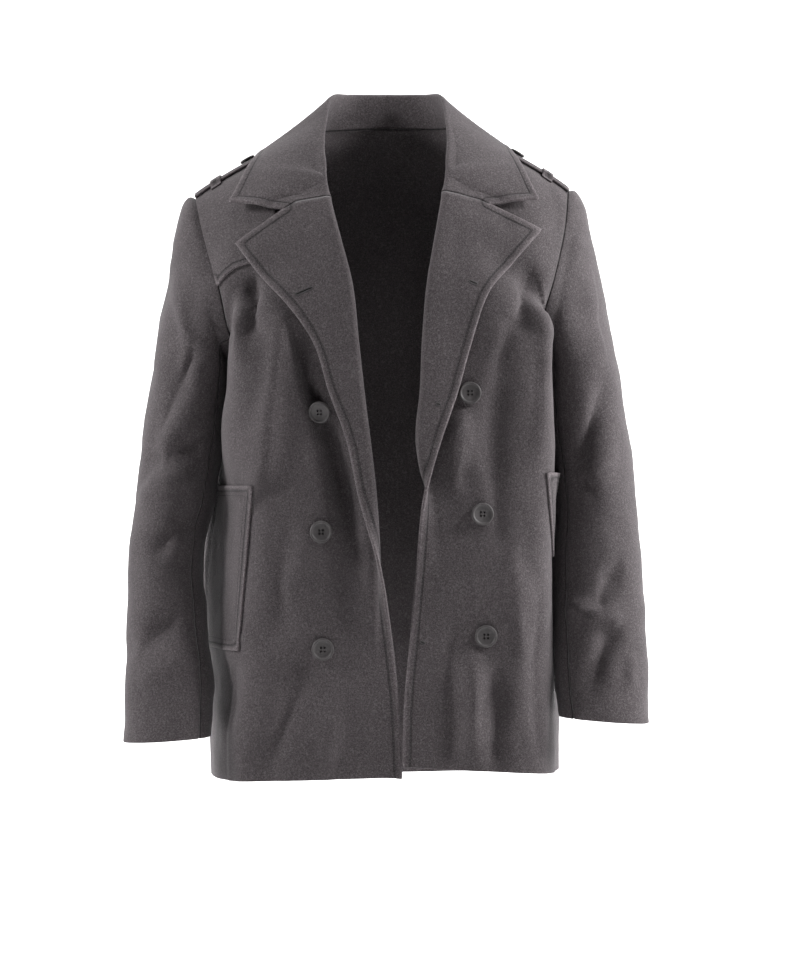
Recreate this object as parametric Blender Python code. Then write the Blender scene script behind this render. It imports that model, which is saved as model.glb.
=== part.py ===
"""Double-breasted pea coat, worn open with its lapels rolled back.

Metres, +Z up, the front faces -Y and the wearer's left is +X.
The origin lies between the two points where the shoulder seams meet the neck.
Every cloth piece is a thin wall: a grid of points on its middle surface, worked
out from the tables below, thickened to both sides. A table's "out" column is a
distance from the middle of the coat towards its own side.
"""
import math

import bmesh
import bpy
import numpy as np
from mathutils import Vector
from mathutils.bvhtree import BVHTree

# ---- cloth and seams --------------------------------------------------------
CLOTH = 0.0024            # body and sleeves
PATCH_CLOTH = 0.0020      # pockets and storm flap
STRAP_CLOTH = 0.0036      # epaulettes, two layers sewn together
SEAM_GAP = 0.0003
SEAM_SHARE = 0.65         # share of the gap that each piece draws back
PATCH_GAP = 0.0005
WELD = 0.00005            # cut points closer than this become one
REACH = 0.5               # longer than any way from a point to the coat
SKEW = (0.61, 0.53, 0.59)     # lines up the edges' diagonals on both sides of a seam

# ---- grid densities ---------------------------------------------------------
ROWS_PER_STATION = 2      # body grid rows between two rows of the tables
FRONT_COLUMNS = 8         # side seam to roll line
NECK_COLUMNS = 4          # back, shoulder-neck point to centre back
ROLL_COLUMNS = 3
LAPEL_COLUMNS = 6
COLLAR_ROWS = 9
SLEEVE_ROWS = 13
DENSE = 48                # points of a row before it is spaced out
CURVE_POINTS = 24         # points of a lapel or collar line before it is spaced out
TURN_POINTS = 12          # points round a roll or fold

UNDERARM = 7              # row of the tables where the side seam ends
GORGE = 10                # row where the lapel ends and the collar starts
SHOULDER = 13             # last row, the shoulder seam
NECK_SHARE = 0.66         # share of a back row between side and shoulder-neck line

# ---- body -------------------------------------------------------------------
# One row per station from the hem up to the shoulder seam:
# side seam or front armhole (out, y, z), corner that the row turns (out, y, z),
# roll line and neckline (out, y, z), fullness of the corner.
FRONT_TABLE = {
    "right": [
        (0.2200, 0.030, -0.806, 0.1942, -0.150, -0.800, 0.0065, -0.143, -0.7945, 4.0),
        (0.2235, 0.030, -0.710, 0.1888, -0.150, -0.705, 0.0115, -0.145, -0.7000, 4.0),
        (0.2260, 0.030, -0.620, 0.1835, -0.149, -0.618, 0.0150, -0.145, -0.6150, 3.6),
        (0.2265, 0.030, -0.540, 0.1767, -0.147, -0.540, 0.0160, -0.144, -0.5400, 3.2),
        (0.2125, 0.022, -0.460, 0.1800, -0.145, -0.460, 0.0175, -0.142, -0.4600, 2.6),
        (0.1970, 0.012, -0.390, 0.2085, -0.143, -0.390, 0.0245, -0.140, -0.3900, 2.6),
        (0.1905, 0.002, -0.330, 0.2032, -0.140, -0.330, 0.0320, -0.139, -0.3300, 3.0),
        (0.1850, -0.010, -0.285, 0.2020, -0.139, -0.280, 0.0385, -0.137, -0.2700, 3.0),
        (0.1865, -0.055, -0.272, 0.1995, -0.134, -0.257, 0.0450, -0.134, -0.2050, 2.4),
        (0.1936, -0.083, -0.2473, 0.182, -0.122, -0.205, 0.0585, -0.125, -0.1500, 1.0),
        (0.2031, -0.088, -0.2012, 0.172, -0.116, -0.150, 0.0730, -0.106, -0.0950, 1.0),
        (0.2206, -0.065, -0.1430, 0.160, -0.095, -0.090, 0.0820, -0.062, -0.0380, 1.0),
        (0.2318, -0.036, -0.1000, 0.188, -0.048, -0.069, 0.0845, -0.031, -0.0130, 1.0),
        (0.2360, 0.000, -0.0875, 0.2105, 0.000, -0.066, 0.0850, 0.000, -0.0010, 1.0),
    ],
    "left": [
        (0.2170, 0.030, -0.800, 0.2000, -0.150, -0.790, 0.0540, -0.146, -0.7830, 4.6),
        (0.2155, 0.030, -0.710, 0.2000, -0.150, -0.702, 0.0560, -0.148, -0.7000, 4.4),
        (0.2045, 0.022, -0.620, 0.2035, -0.149, -0.618, 0.0620, -0.148, -0.6150, 4.2),
        (0.1990, 0.014, -0.540, 0.2053, -0.147, -0.540, 0.0670, -0.146, -0.5400, 4.0),
        (0.1985, 0.010, -0.460, 0.2085, -0.145, -0.460, 0.0600, -0.144, -0.4600, 4.0),
        (0.1945, 0.006, -0.390, 0.2133, -0.143, -0.390, 0.0450, -0.141, -0.3900, 3.4),
        (0.1885, 0.000, -0.330, 0.2150, -0.140, -0.330, 0.0480, -0.139, -0.3300, 3.4),
        (0.1830, -0.010, -0.277, 0.2140, -0.139, -0.274, 0.0507, -0.137, -0.2680, 3.2),
        (0.1850, -0.055, -0.262, 0.2130, -0.134, -0.250, 0.0555, -0.134, -0.2030, 2.6),
        (0.1925, -0.083, -0.2330, 0.1840, -0.122, -0.196, 0.0650, -0.125, -0.1450, 1.0),
        (0.2050, -0.086, -0.1920, 0.1740, -0.116, -0.142, 0.0750, -0.106, -0.0890, 1.0),
        (0.2190, -0.063, -0.1330, 0.1600, -0.095, -0.082, 0.0820, -0.062, -0.0320, 1.0),
        (0.2245, -0.035, -0.0905, 0.1820, -0.047, -0.060, 0.0840, -0.031, -0.0070, 1.0),
        (0.2265, 0.000, -0.0775, 0.2030, 0.000, -0.056, 0.0850, 0.000, 0.0050, 1.0),
    ],
}
# Roll and lapel beyond the roll line, same stations up to the gorge:
# roll angle in degrees, roll radius, front edge (out, z), how far the edge
# stands off the front, and how far the row bends up at the notch.
LAPEL_TABLE = {
    "right": [
        (0, 0.010, -0.0187, -0.7950, 0.000, 0.000),
        (2, 0.010, -0.0138, -0.7000, 0.000, 0.000),
        (35, 0.012, -0.0045, -0.6150, 0.007, 0.000),
        (115, 0.010, 0.0075, -0.5400, 0.020, 0.000),
        (165, 0.0065, 0.0300, -0.4600, 0.013, 0.000),
        (180, 0.0055, 0.0450, -0.3900, 0.010, 0.000),
        (180, 0.0055, 0.0660, -0.3320, 0.009, 0.000),
        (180, 0.0055, 0.0840, -0.2740, 0.008, 0.000),
        (180, 0.0050, 0.1123, -0.2312, 0.008, 0.000),
        (180, 0.0050, 0.1490, -0.1910, 0.009, 0.0030),
        (180, 0.0050, 0.1804, -0.1505, 0.009, 0.0130),
    ],
    "left": [
        (0, 0.010, 0.0223, -0.7810, 0.000, 0.000),
        (0, 0.010, 0.0248, -0.7000, 0.000, 0.000),
        (0, 0.010, 0.0325, -0.6150, 0.001, 0.000),
        (0, 0.012, 0.0390, -0.5400, 0.003, 0.000),
        (25, 0.012, 0.0470, -0.4600, 0.012, 0.000),
        (150, 0.0075, 0.0640, -0.3950, 0.013, 0.000),
        (180, 0.0055, 0.0850, -0.3330, 0.009, 0.000),
        (180, 0.0055, 0.1000, -0.2790, 0.007, 0.000),
        (180, 0.0050, 0.1210, -0.2150, 0.006, 0.000),
        (180, 0.0050, 0.1502, -0.1770, 0.005, 0.002),
        (180, 0.0050, 0.1880, -0.1330, 0.005, 0.0060),
    ],
}
ROLL_SHARE = 0.22         # least share of a lapel row given to the roll's columns
NOTCH_SHARE = 0.34        # of the lapel's top edge, roll line to point
STAND_OFF_TILT = (120, 165)   # roll angles between which the lapel settles on the front

# Back: corner (out, y, z) and centre back (y, z) of each row, fullness.
BACK_TABLE = [
    (0.200, 0.135, -0.812, 0.142, -0.8150, 1.1),
    (0.226, 0.128, -0.712, 0.134, -0.7150, 1.5),
    (0.238, 0.120, -0.620, 0.124, -0.6200, 1.8),
    (0.248, 0.114, -0.540, 0.114, -0.5400, 2.0),
    (0.244, 0.110, -0.460, 0.108, -0.4600, 2.2),
    (0.228, 0.110, -0.390, 0.108, -0.3900, 2.0),
    (0.206, 0.113, -0.330, 0.113, -0.3300, 1.4),
    (0.187, 0.116, -0.282, 0.119, -0.2750, 1.0),
    (0.186, 0.116, -0.262, 0.124, -0.2320, 1.0),
    (0.183, 0.113, -0.222, 0.125, -0.1720, 1.0),
    (0.174, 0.107, -0.163, 0.118, -0.1100, 1.0),
    (0.155, 0.086, -0.088, 0.100, -0.0500, 1.0),
    (0.178, 0.044, -0.062, 0.086, -0.0150, 1.0),
]
NECK_CORNER = (0.078, 0.066, 0.006)
NECK_BACK = (0.066, 0.010)
# Back armhole (out, y, z) above the underarm and below the shoulder point.
BACK_ARMHOLE = {
    "right": [(0.186, 0.036, -0.276), (0.190, 0.070, -0.250), (0.202, 0.084, -0.200),
              (0.219, 0.062, -0.140), (0.231, 0.034, -0.0985)],
    "left": [(0.184, 0.036, -0.267), (0.189, 0.070, -0.240), (0.200, 0.084, -0.190),
             (0.217, 0.062, -0.130), (0.224, 0.034, -0.0890)],
}

# ---- sleeves ----------------------------------------------------------------
# One ring per row from the sleeve head to the cuff: outer line (out, z),
# inner line (out, z), middle depth y, half depth.
SLEEVE_TABLE = {
    "right": [
        (0.2475, -0.0875, 0.1970, -0.2905, 0.001, 0.0900),
        (0.2590, -0.1150, 0.1980, -0.3040, 0.002, 0.0880),
        (0.2685, -0.1700, 0.1985, -0.3240, 0.003, 0.0840),
        (0.2800, -0.2350, 0.1998, -0.3520, 0.003, 0.0790),
        (0.2915, -0.3050, 0.2022, -0.3850, 0.000, 0.0730),
        (0.3025, -0.3850, 0.2105, -0.4350, -0.007, 0.0670),
        (0.3105, -0.4600, 0.2195, -0.4850, -0.020, 0.0620),
        (0.3150, -0.5300, 0.2275, -0.5400, -0.036, 0.0570),
        (0.3180, -0.6000, 0.2215, -0.6020, -0.054, 0.0530),
        (0.3180, -0.6600, 0.2141, -0.6600, -0.070, 0.0500),
        (0.3178, -0.7120, 0.2121, -0.7080, -0.083, 0.0480),
        (0.3174, -0.7550, 0.2117, -0.7480, -0.093, 0.0460),
    ],
    "left": [
        (0.2385, -0.0775, 0.1975, -0.2830, 0.001, 0.0890),
        (0.2510, -0.1050, 0.2000, -0.2970, 0.002, 0.0870),
        (0.2620, -0.1620, 0.2005, -0.3170, 0.003, 0.0830),
        (0.2760, -0.2280, 0.1992, -0.3440, 0.003, 0.0780),
        (0.2900, -0.3000, 0.2010, -0.3780, 0.000, 0.0720),
        (0.3005, -0.3780, 0.2075, -0.4250, -0.007, 0.0660),
        (0.3085, -0.4500, 0.2115, -0.4750, -0.020, 0.0610),
        (0.3130, -0.5150, 0.2068, -0.5250, -0.036, 0.0560),
        (0.3160, -0.5800, 0.2055, -0.5820, -0.054, 0.0520),
        (0.3160, -0.6350, 0.2062, -0.6350, -0.070, 0.0490),
        (0.3202, -0.6850, 0.2080, -0.6820, -0.083, 0.0480),
        (0.3200, -0.7320, 0.2136, -0.7240, -0.092, 0.0460),
    ],
}
ARMHOLE_SHAPE_ROWS = 6    # rows of the table that still take after the armhole
UNDER_SLEEVE_SPAN = 3     # armhole grid steps from the underarm to a sleeve seam

# ---- collar -----------------------------------------------------------------
# Stations from the notch to centre back: fold line (out, y, z) and outer edge
# (out, y, z). "gorge" stations have no stand, so their fold is the seam itself.
COLLAR_TABLE = {
    "right": {
        "notch": (None, (0.1878, -0.093, -0.0985)),
        "gorge": (None, (0.1770, -0.078, -0.0820)),
        "roll": (None, (0.1665, -0.060, -0.0650)),
        "throat": ((0.0705, -0.096, -0.0600), (0.1625, -0.050, -0.0570)),
        "front": ((0.0735, -0.066, -0.0230), (0.1580, -0.038, -0.0490)),
        "side": ((0.0715, -0.032, 0.0130), (0.1520, -0.013, -0.0370)),
        "shoulder": ((0.0660, 0.004, 0.0450), (0.1470, 0.012, -0.0300)),
        "nape": ((0.0440, 0.050, 0.0540), (0.0950, 0.080, -0.0180)),
        "back": ((0.0000, 0.068, 0.0570), (0.0000, 0.106, -0.0180)),
    },
    "left": {
        "notch": (None, (0.1835, -0.093, -0.0955)),
        "gorge": (None, (0.1730, -0.078, -0.0780)),
        "roll": (None, (0.1625, -0.060, -0.0600)),
        "throat": ((0.0715, -0.096, -0.0540), (0.1585, -0.050, -0.0520)),
        "front": ((0.0735, -0.066, -0.0190), (0.1540, -0.038, -0.0440)),
        "side": ((0.0715, -0.032, 0.0160), (0.1480, -0.013, -0.0320)),
        "shoulder": ((0.0660, 0.004, 0.0460), (0.1430, 0.012, -0.0250)),
        "nape": ((0.0440, 0.050, 0.0540), (0.0940, 0.080, -0.0170)),
        "back": ((0.0000, 0.068, 0.0570), (0.0000, 0.106, -0.0180)),
    },
}
FOLD_TRIM = 0.008         # way from the fold line to where the fold's arc starts
FOLD_STAND_SHARE = 0.6    # most of a low stand that the arc may take
STAND_ROWS = 3            # collar grid steps between the seam and the fold
FULL_STAND = 0.030        # stand height from which the rows keep to that
COLLAR_CLEAR = {"right": 0.0102, "left": 0.0078}   # from its middle to the body's middle
COLLAR_SETTLE = 0.006     # how softly the fall comes to rest on the shoulder
STEEPEST = 30.0           # above this many settling lengths the lift is the full way
BODY_HEART = (0.0, 0.02, -0.25)   # the collar is lifted away from this point
NECK_HALF = 0.06          # out, where each side's full clearance starts

# ---- folds of the worn cloth ------------------------------------------------
# Pieces, start (x, y, z), end (x, y, z), half width, height (out is plus).
FOLDS = [
    ("front_right", (-0.124, -0.140, -0.250), (-0.150, -0.147, -0.470), 0.016, 0.0050),
    ("front_right", (-0.098, -0.140, -0.270), (-0.060, -0.145, -0.420), 0.016, -0.0050),
    ("front_right", (-0.052, -0.145, -0.440), (-0.032, -0.147, -0.640), 0.014, -0.0045),
    ("front_right", (-0.165, -0.120, -0.200), (-0.160, -0.135, -0.260), 0.014, -0.0050),
    ("front_right", (-0.094, -0.147, -0.660), (-0.142, -0.147, -0.790), 0.020, -0.0045),
    ("front_left", (0.175, -0.120, -0.190), (0.166, -0.135, -0.250), 0.016, -0.0050),
    ("front_left", (0.184, -0.120, -0.180), (0.192, -0.140, -0.260), 0.012, 0.0040),
    ("front_left", (0.090, -0.145, -0.370), (0.086, -0.146, -0.410), 0.014, 0.0050),
    ("front_left", (0.131, -0.145, -0.340), (0.130, -0.146, -0.420), 0.016, -0.0040),
    ("front_left", (0.074, -0.147, -0.630), (0.074, -0.147, -0.760), 0.014, -0.0040),
    ("front_left", (0.103, -0.147, -0.660), (0.106, -0.147, -0.740), 0.014, 0.0035),
    ("front_left", (0.131, -0.147, -0.680), (0.131, -0.147, -0.760), 0.014, -0.0040),
    ("back", (-0.060, 0.120, -0.620), (-0.085, 0.150, -0.815), 0.022, 0.0050),
    ("back", (0.070, 0.120, -0.600), (0.082, 0.150, -0.815), 0.022, 0.0050),
    ("back", (-0.165, 0.100, -0.300), (-0.110, 0.110, -0.420), 0.018, -0.0050),
    ("back", (0.165, 0.100, -0.300), (0.115, 0.110, -0.430), 0.018, -0.0050),
    ("sleeve_right", (-0.262, -0.070, -0.300), (-0.300, -0.060, -0.410), 0.018, -0.0050),
    ("sleeve_right", (-0.215, -0.075, -0.400), (-0.300, -0.060, -0.425), 0.014, -0.0050),
    ("sleeve_right", (-0.215, -0.085, -0.430), (-0.300, -0.070, -0.452), 0.014, 0.0040),
    ("sleeve_right", (-0.268, -0.100, -0.510), (-0.300, -0.080, -0.530), 0.016, -0.0045),
    ("sleeve_right", (-0.262, -0.110, -0.615), (-0.305, -0.090, -0.640), 0.016, -0.0045),
    ("sleeve_right", (-0.300, 0.040, -0.400), (-0.230, 0.045, -0.450), 0.016, -0.0050),
    ("sleeve_left", (0.270, -0.075, -0.330), (0.222, -0.080, -0.420), 0.016, -0.0055),
    ("sleeve_left", (0.222, -0.085, -0.430), (0.248, -0.085, -0.450), 0.012, -0.0045),
    ("sleeve_left", (0.275, -0.100, -0.560), (0.262, -0.105, -0.580), 0.016, -0.0045),
    ("sleeve_left", (0.222, -0.105, -0.590), (0.275, -0.110, -0.605), 0.013, 0.0040),
    ("sleeve_left", (0.268, -0.115, -0.620), (0.248, -0.120, -0.690), 0.014, -0.0050),
    ("sleeve_left", (0.298, 0.040, -0.390), (0.230, 0.045, -0.445), 0.016, -0.0050),
]

# ---- patches ----------------------------------------------------------------
# Storm flap's lower edge on the right front (out, z), armhole first.
FLAP_EDGE = [(0.260, -0.2550), (0.2031, -0.1990), (0.1930, -0.1870), (0.1834, -0.1800),
             (0.1640, -0.1735), (0.1200, -0.1700)]
FLAP_BOTTOM = -0.24       # everything below this height is cut off
FLAP_INNER = 0.134        # out, where the flap ends under the lapel
FLAP_TOP = -0.0030        # depth y where it ends below the shoulder seam
FLAP_END = (-0.001, 0.008)    # depths y between which an epaulette steps off it
POCKET_TOP = {"right": -0.4455, "left": -0.4300}
POCKET_BOTTOM = {"right": -0.6430, "left": -0.6300}
POCKET_FRONT = {"right": (0.1600, 0.085), "left": (0.1940, 0.085)}
POCKET_ENTRY_TOP = {"right": (-0.010, 0.35), "left": (-0.050, 0.35)}
POCKET_BACK = {"right": 0.014, "left": 0.003}
POCKET_GAPE = {"right": 0.0020, "left": 0.0080}    # how far the entry's top stands open
GAPE_REACH = (0.028, 0.050)         # forward of the entry, down from the top

# ---- epaulettes -------------------------------------------------------------
SHOULDER_ROWS = 5         # rows of a panel that an epaulette can lie on
STRAP_SEAM = 0.0012       # way from the armhole seam to the strap's end
STRAP_TIP = {"right": 0.1380, "left": 0.1330}
STRAP_HALF_WIDTH = 0.0215
STRAP_CENTRE_Y = -0.001
STRAP_POINT = 0.55        # slope of the two edges at its point
LOOP_AT = {"right": 0.2085, "left": 0.1990}
LOOP_WIDTH = 0.011
LOOP_CLOTH = 0.0018
LOOP_REACH = 1.38         # share of the strap's half width where the loop ends
LOOP_DROP = ((1.04, 1.22), (0.0, 1.0))   # share of the half width, way down to the shoulder
STRAP_BUTTON_AT = {"right": 0.1690, "left": 0.1610}

# ---- buttons ----------------------------------------------------------------
BUTTON_RADIUS = 0.0135
STRAP_BUTTON_RADIUS = 0.0100
BUTTON_SIDES = 14
# share of the radius, share of the height, from the back's centre round the rim
BUTTON_PROFILE = [(0.80, 0.00), (1.00, 0.30), (1.00, 0.80), (0.92, 1.00), (0.82, 0.96),
                  (0.70, 0.62)]
BUTTON_HEIGHT = 0.0042
HOLE_RADIUS = 0.0011
HOLE_OFFSET = 0.0024
HOLE_SIDES = 5
BUTTON_STAND = 0.0005
BUTTONS = {
    "button_right_1": (-0.0774, -0.3537),
    "button_right_2": (-0.0774, -0.5002),
    "button_right_3": (-0.0750, -0.6408),
    "button_left_1": (0.1016, -0.3333),
    "button_left_2": (0.1160, -0.4786),
    "button_left_3": (0.1208, -0.6252),
}

WOOL = (0.105, 0.093, 0.098)
WOOL_ROUGHNESS = 0.95
HORN = (0.070, 0.062, 0.062)
HORN_ROUGHNESS = 0.45
SHARP_ANGLE = 50          # degrees; edges that bend more are drawn sharp
SIDE = {"right": -1.0, "left": 1.0}
OUTWARD = {"right": 1.0, "left": -1.0, "back": -1.0}   # turns a grid's normals outward


# ---- curves -----------------------------------------------------------------
def through(values, at, last_slope=None):
    """Smooth curve through the rows of values, read at row numbers."""
    values = np.asarray(values, float)
    at = np.atleast_1d(np.asarray(at, float))
    slopes = np.gradient(values, axis=0)
    if last_slope is not None:
        slopes[-1] = last_slope
    low = np.clip(np.floor(at).astype(int), 0, len(values) - 2)
    t = (at - low)[:, None]
    a, b, da, db = values[low], values[low + 1], slopes[low], slopes[low + 1]
    return (a * (1 + 2 * t) * (1 - t) ** 2 + da * t * (1 - t) ** 2
            + b * t ** 2 * (3 - 2 * t) + db * t ** 2 * (t - 1))


def corner(start, turn, end, fullness, count=DENSE):
    """Arc from start to end that turns the corner; more fullness fills the corner."""
    t = np.linspace(0, 1, count)[:, None]
    shares = (1 - t) ** 2, 2 * fullness * t * (1 - t), t ** 2
    return (shares[0] * start + shares[1] * turn + shares[2] * end) / sum(shares)


def along(points, shares):
    """Points at the given shares of a polyline's length."""
    steps = np.linalg.norm(np.diff(points, axis=0), axis=1)
    length = np.concatenate([[0], np.cumsum(steps)])
    at = np.asarray(shares) * length[-1]
    return np.column_stack([np.interp(at, length, points[:, k]) for k in range(3)])


def unit(vectors):
    return vectors / np.maximum(np.linalg.norm(vectors, axis=-1, keepdims=True), 1e-12)


def smoothstep(low, high, value):
    t = np.clip((value - low) / (high - low), 0, 1)
    return t * t * (3 - 2 * t)


def level(points):
    """Slope of the last step with only its depth kept, for a rounded shoulder."""
    return (points[-1] - points[-2]) * (0.0, 1.0, 0.0)


def side_points(rows, side):
    """Turn (out, y, z) rows into points on one side of the coat."""
    points = np.array(rows, float)
    points[..., 0] *= SIDE[side]
    return points


def surface_tree(grid):
    """Search tree over a grid of points."""
    rows, columns = grid.shape[:2]
    faces = []
    for i in range(rows - 1):
        for j in range(columns - 1):
            a = i * columns + j
            faces += [(a, a + 1, a + columns + 1), (a, a + columns + 1, a + columns)]
    return BVHTree.FromPolygons([Vector(p) for p in grid.reshape(-1, 3)], faces)


def depth_at(tree, x, z, missing):
    """Depth y of the first surface met from the front, or the given value."""
    hit = tree.ray_cast(Vector((x, -REACH, z)), Vector((0, 1, 0)))
    return hit[0].y if hit[0] is not None else missing


# ---- body grids -------------------------------------------------------------
STATIONS = np.linspace(0, SHOULDER, SHOULDER * ROWS_PER_STATION + 1)
UNDERARM_ROW = UNDERARM * ROWS_PER_STATION
GORGE_ROW = GORGE * ROWS_PER_STATION
NOTCH_COLUMN = ROLL_COLUMNS - 1 + round(NOTCH_SHARE * LAPEL_COLUMNS)


def seam_column(lower, upper):
    """Side seam up to the underarm, then the armhole, as one column of points."""
    below = STATIONS[STATIONS <= UNDERARM]
    above = STATIONS[STATIONS > UNDERARM]
    armhole = through(upper, above - UNDERARM, level(upper))
    return np.vstack([through(lower, below), armhole])


def turned_row(start, turn, end, fullness):
    """Row of a front that turns a corner, with a column right on the corner."""
    line = corner(start, turn, end, fullness, 2 * DENSE + 1)
    shares = np.linspace(0, 1, FRONT_COLUMNS // 2 + 1)
    return np.vstack([along(line[:DENSE + 1], shares), along(line[DENSE:], shares[1:])])


def front_panel(side):
    """Front from the side seam to the roll line, hem to shoulder seam."""
    table = np.array(FRONT_TABLE[side])
    sides = side_points(table[:, 0:3], side)
    seam = seam_column(sides[:UNDERARM + 1], sides[UNDERARM:])
    turns, rolls = side_points(table[:, 3:6], side), side_points(table[:, 6:9], side)
    turn = through(turns, STATIONS, level(turns))
    roll = through(rolls, STATIONS, level(rolls))
    fullness = through(table[:, 9:10], STATIONS)
    return np.array([turned_row(*ends) for ends in zip(seam, turn, roll, fullness)])


def back_half_rows(side):
    """Back rows from one side seam to centre back."""
    front = side_points(np.array(FRONT_TABLE[side])[:, 0:3], side)
    shoulder_row = np.array(FRONT_TABLE[side][SHOULDER])
    armhole = np.vstack([front[UNDERARM:UNDERARM + 1],
                         side_points(BACK_ARMHOLE[side], side), front[SHOULDER:]])
    seam = seam_column(front[:UNDERARM + 1], armhole)
    table = np.array(BACK_TABLE)
    shoulder = turned_row(front[SHOULDER], side_points(shoulder_row[3:6], side),
                          side_points(shoulder_row[6:9], side), shoulder_row[9])
    neck_back = np.array((0.0,) + NECK_BACK)
    neck = corner(shoulder[-1], side_points(NECK_CORNER, side), neck_back, 1.0)
    outer = np.linspace(0, 1, FRONT_COLUMNS + 1)
    inner = np.linspace(0, 1, NECK_COLUMNS + 1)[1:]
    top_row = np.vstack([shoulder, along(neck, inner)])
    shares = np.concatenate([outer * NECK_SHARE, NECK_SHARE + inner * (1 - NECK_SHARE)])
    table_rows = []
    for number, row in enumerate(table):
        start = front[number] if number <= UNDERARM else armhole[number - UNDERARM]
        turn = side_points(row[0:3], side)
        end = np.array((0.0, row[3], row[4]))
        table_rows.append(along(corner(start, turn, end, row[5]), shares))
    table_rows.append(top_row)
    stack = np.array(table_rows)
    slope = stack[-1] - stack[-2]
    slope[:, 0::2] *= np.concatenate([outer * 0.0, inner])[:, None]
    grid = through(stack.reshape(len(stack), -1), STATIONS, slope.reshape(-1))
    grid = grid.reshape(len(STATIONS), -1, 3)
    grid[:, 0] = seam
    grid[:, -1, 0] = 0.0
    return grid


def back_panel():
    """Back in one piece, right side seam to left side seam."""
    right = back_half_rows("right")
    left = back_half_rows("left")
    middle = (right[:, -1:] + left[:, -1:]) / 2
    return np.concatenate([right[:, :-1], middle, left[:, -2::-1]], axis=1)


def lapel_band(side, panel):
    """Roll and lapel, one row of points from the roll line to the front edge."""
    sign = SIDE[side]
    stations = STATIONS[STATIONS <= GORGE]
    table = through(np.array(LAPEL_TABLE[side]), stations)
    tree = surface_tree(panel)
    rows = []
    for i in range(len(stations)):
        angle, radius, edge_out, edge_z, lift, notch = table[i]
        angle = math.radians(min(max(angle, 0.0), 180.0))
        start = panel[i, -1]
        inward = unit(start - panel[i, -2])
        inward[2] = 0.0
        inward = unit(inward)
        outward = np.array((inward[1], -inward[0], 0.0)) * (-sign)
        turns = np.linspace(0, angle, TURN_POINTS)[:, None]
        arc = start + radius * (np.sin(turns) * inward + (1 - np.cos(turns)) * outward)
        heading = math.cos(angle) * inward + math.sin(angle) * outward
        edge = np.array((sign * edge_out, 0.0, edge_z))
        edge[1] = depth_at(tree, edge[0], edge[2], start[1]) - lift
        t = np.linspace(0, 1, CURVE_POINTS)[:, None]
        reach = np.linalg.norm(edge - arc[-1])
        free = ((1 + 2 * t) * (1 - t) ** 2 * arc[-1] + t * (1 - t) ** 2 * reach * heading
                + t ** 2 * (3 - 2 * t) * edge + t ** 2 * (t - 1) * (edge - arc[-1]))
        laid = arc[-1] + t * (edge - arc[-1])
        bend = np.minimum(t / NOTCH_SHARE, (1 - t) / (1 - NOTCH_SHARE))
        laid[:, 2:] += notch * bend
        height = 2 * radius + (lift - 2 * radius) * t[:, 0]
        for k in range(len(t)):
            laid[k, 1] = depth_at(tree, laid[k, 0], laid[k, 2], start[1]) - height[k]
        settled = smoothstep(*STAND_OFF_TILT, math.degrees(angle))
        sheet = free + (laid - free) * settled
        line = np.vstack([arc[:-1], sheet])
        length = np.linalg.norm(np.diff(line, axis=0), axis=1).sum()
        arc_share = max(radius * angle / length, ROLL_SHARE)
        shares = np.concatenate([np.linspace(0, arc_share, ROLL_COLUMNS + 1)[1:],
                                 np.linspace(arc_share, 1, LAPEL_COLUMNS + 1)[1:]])
        rows.append(along(line, shares))
    return np.array(rows)


# ---- sleeves ----------------------------------------------------------------
def sleeve_tube(side, front_edge, back_edge):
    """Rings of points from the armhole to the cuff, underarm first, front way round."""
    loop = np.vstack([front_edge, back_edge[-2::-1]])
    angles = []
    for edge in (front_edge, back_edge):
        steps = np.linalg.norm(np.diff(edge, axis=0), axis=1)
        share = np.concatenate([[0], np.cumsum(steps)]) / steps.sum()
        angles.append(math.pi * (1 - share))
    theta = np.concatenate([angles[0], -angles[1][-2::-1]])[:, None]
    underarm, shoulder = front_edge[0], front_edge[-1]
    offset = loop - (underarm + shoulder) / 2
    rise = (shoulder - underarm) / 2
    depth_0 = np.abs(offset[:, 1]).max()
    loop_up = (offset @ rise / (rise @ rise))[:, None]
    loop_deep = -offset[:, 1:2] / depth_0
    rings = [loop]
    for number, row in enumerate(SLEEVE_TABLE[side], start=1):
        outer_out, outer_z, inner_out, inner_z, depth, half_depth = row
        outer = np.array((SIDE[side] * outer_out, depth, outer_z))
        inner = np.array((SIDE[side] * inner_out, depth, inner_z))
        kept = 1 - smoothstep(0, ARMHOLE_SHAPE_ROWS, number)
        up = np.cos(theta) + (loop_up - np.cos(theta)) * kept
        deep = np.sin(theta) + (loop_deep - np.sin(theta)) * kept
        rings.append((outer + inner) / 2 + up * (outer - inner) / 2
                     + deep * np.array((0, -half_depth, 0)))
    stack = np.array(rings)
    steps = np.linspace(0, 1, SLEEVE_ROWS + 1) * (len(stack) - 1)
    return through(stack.reshape(len(stack), -1), steps).reshape(len(steps), -1, 3)


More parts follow.
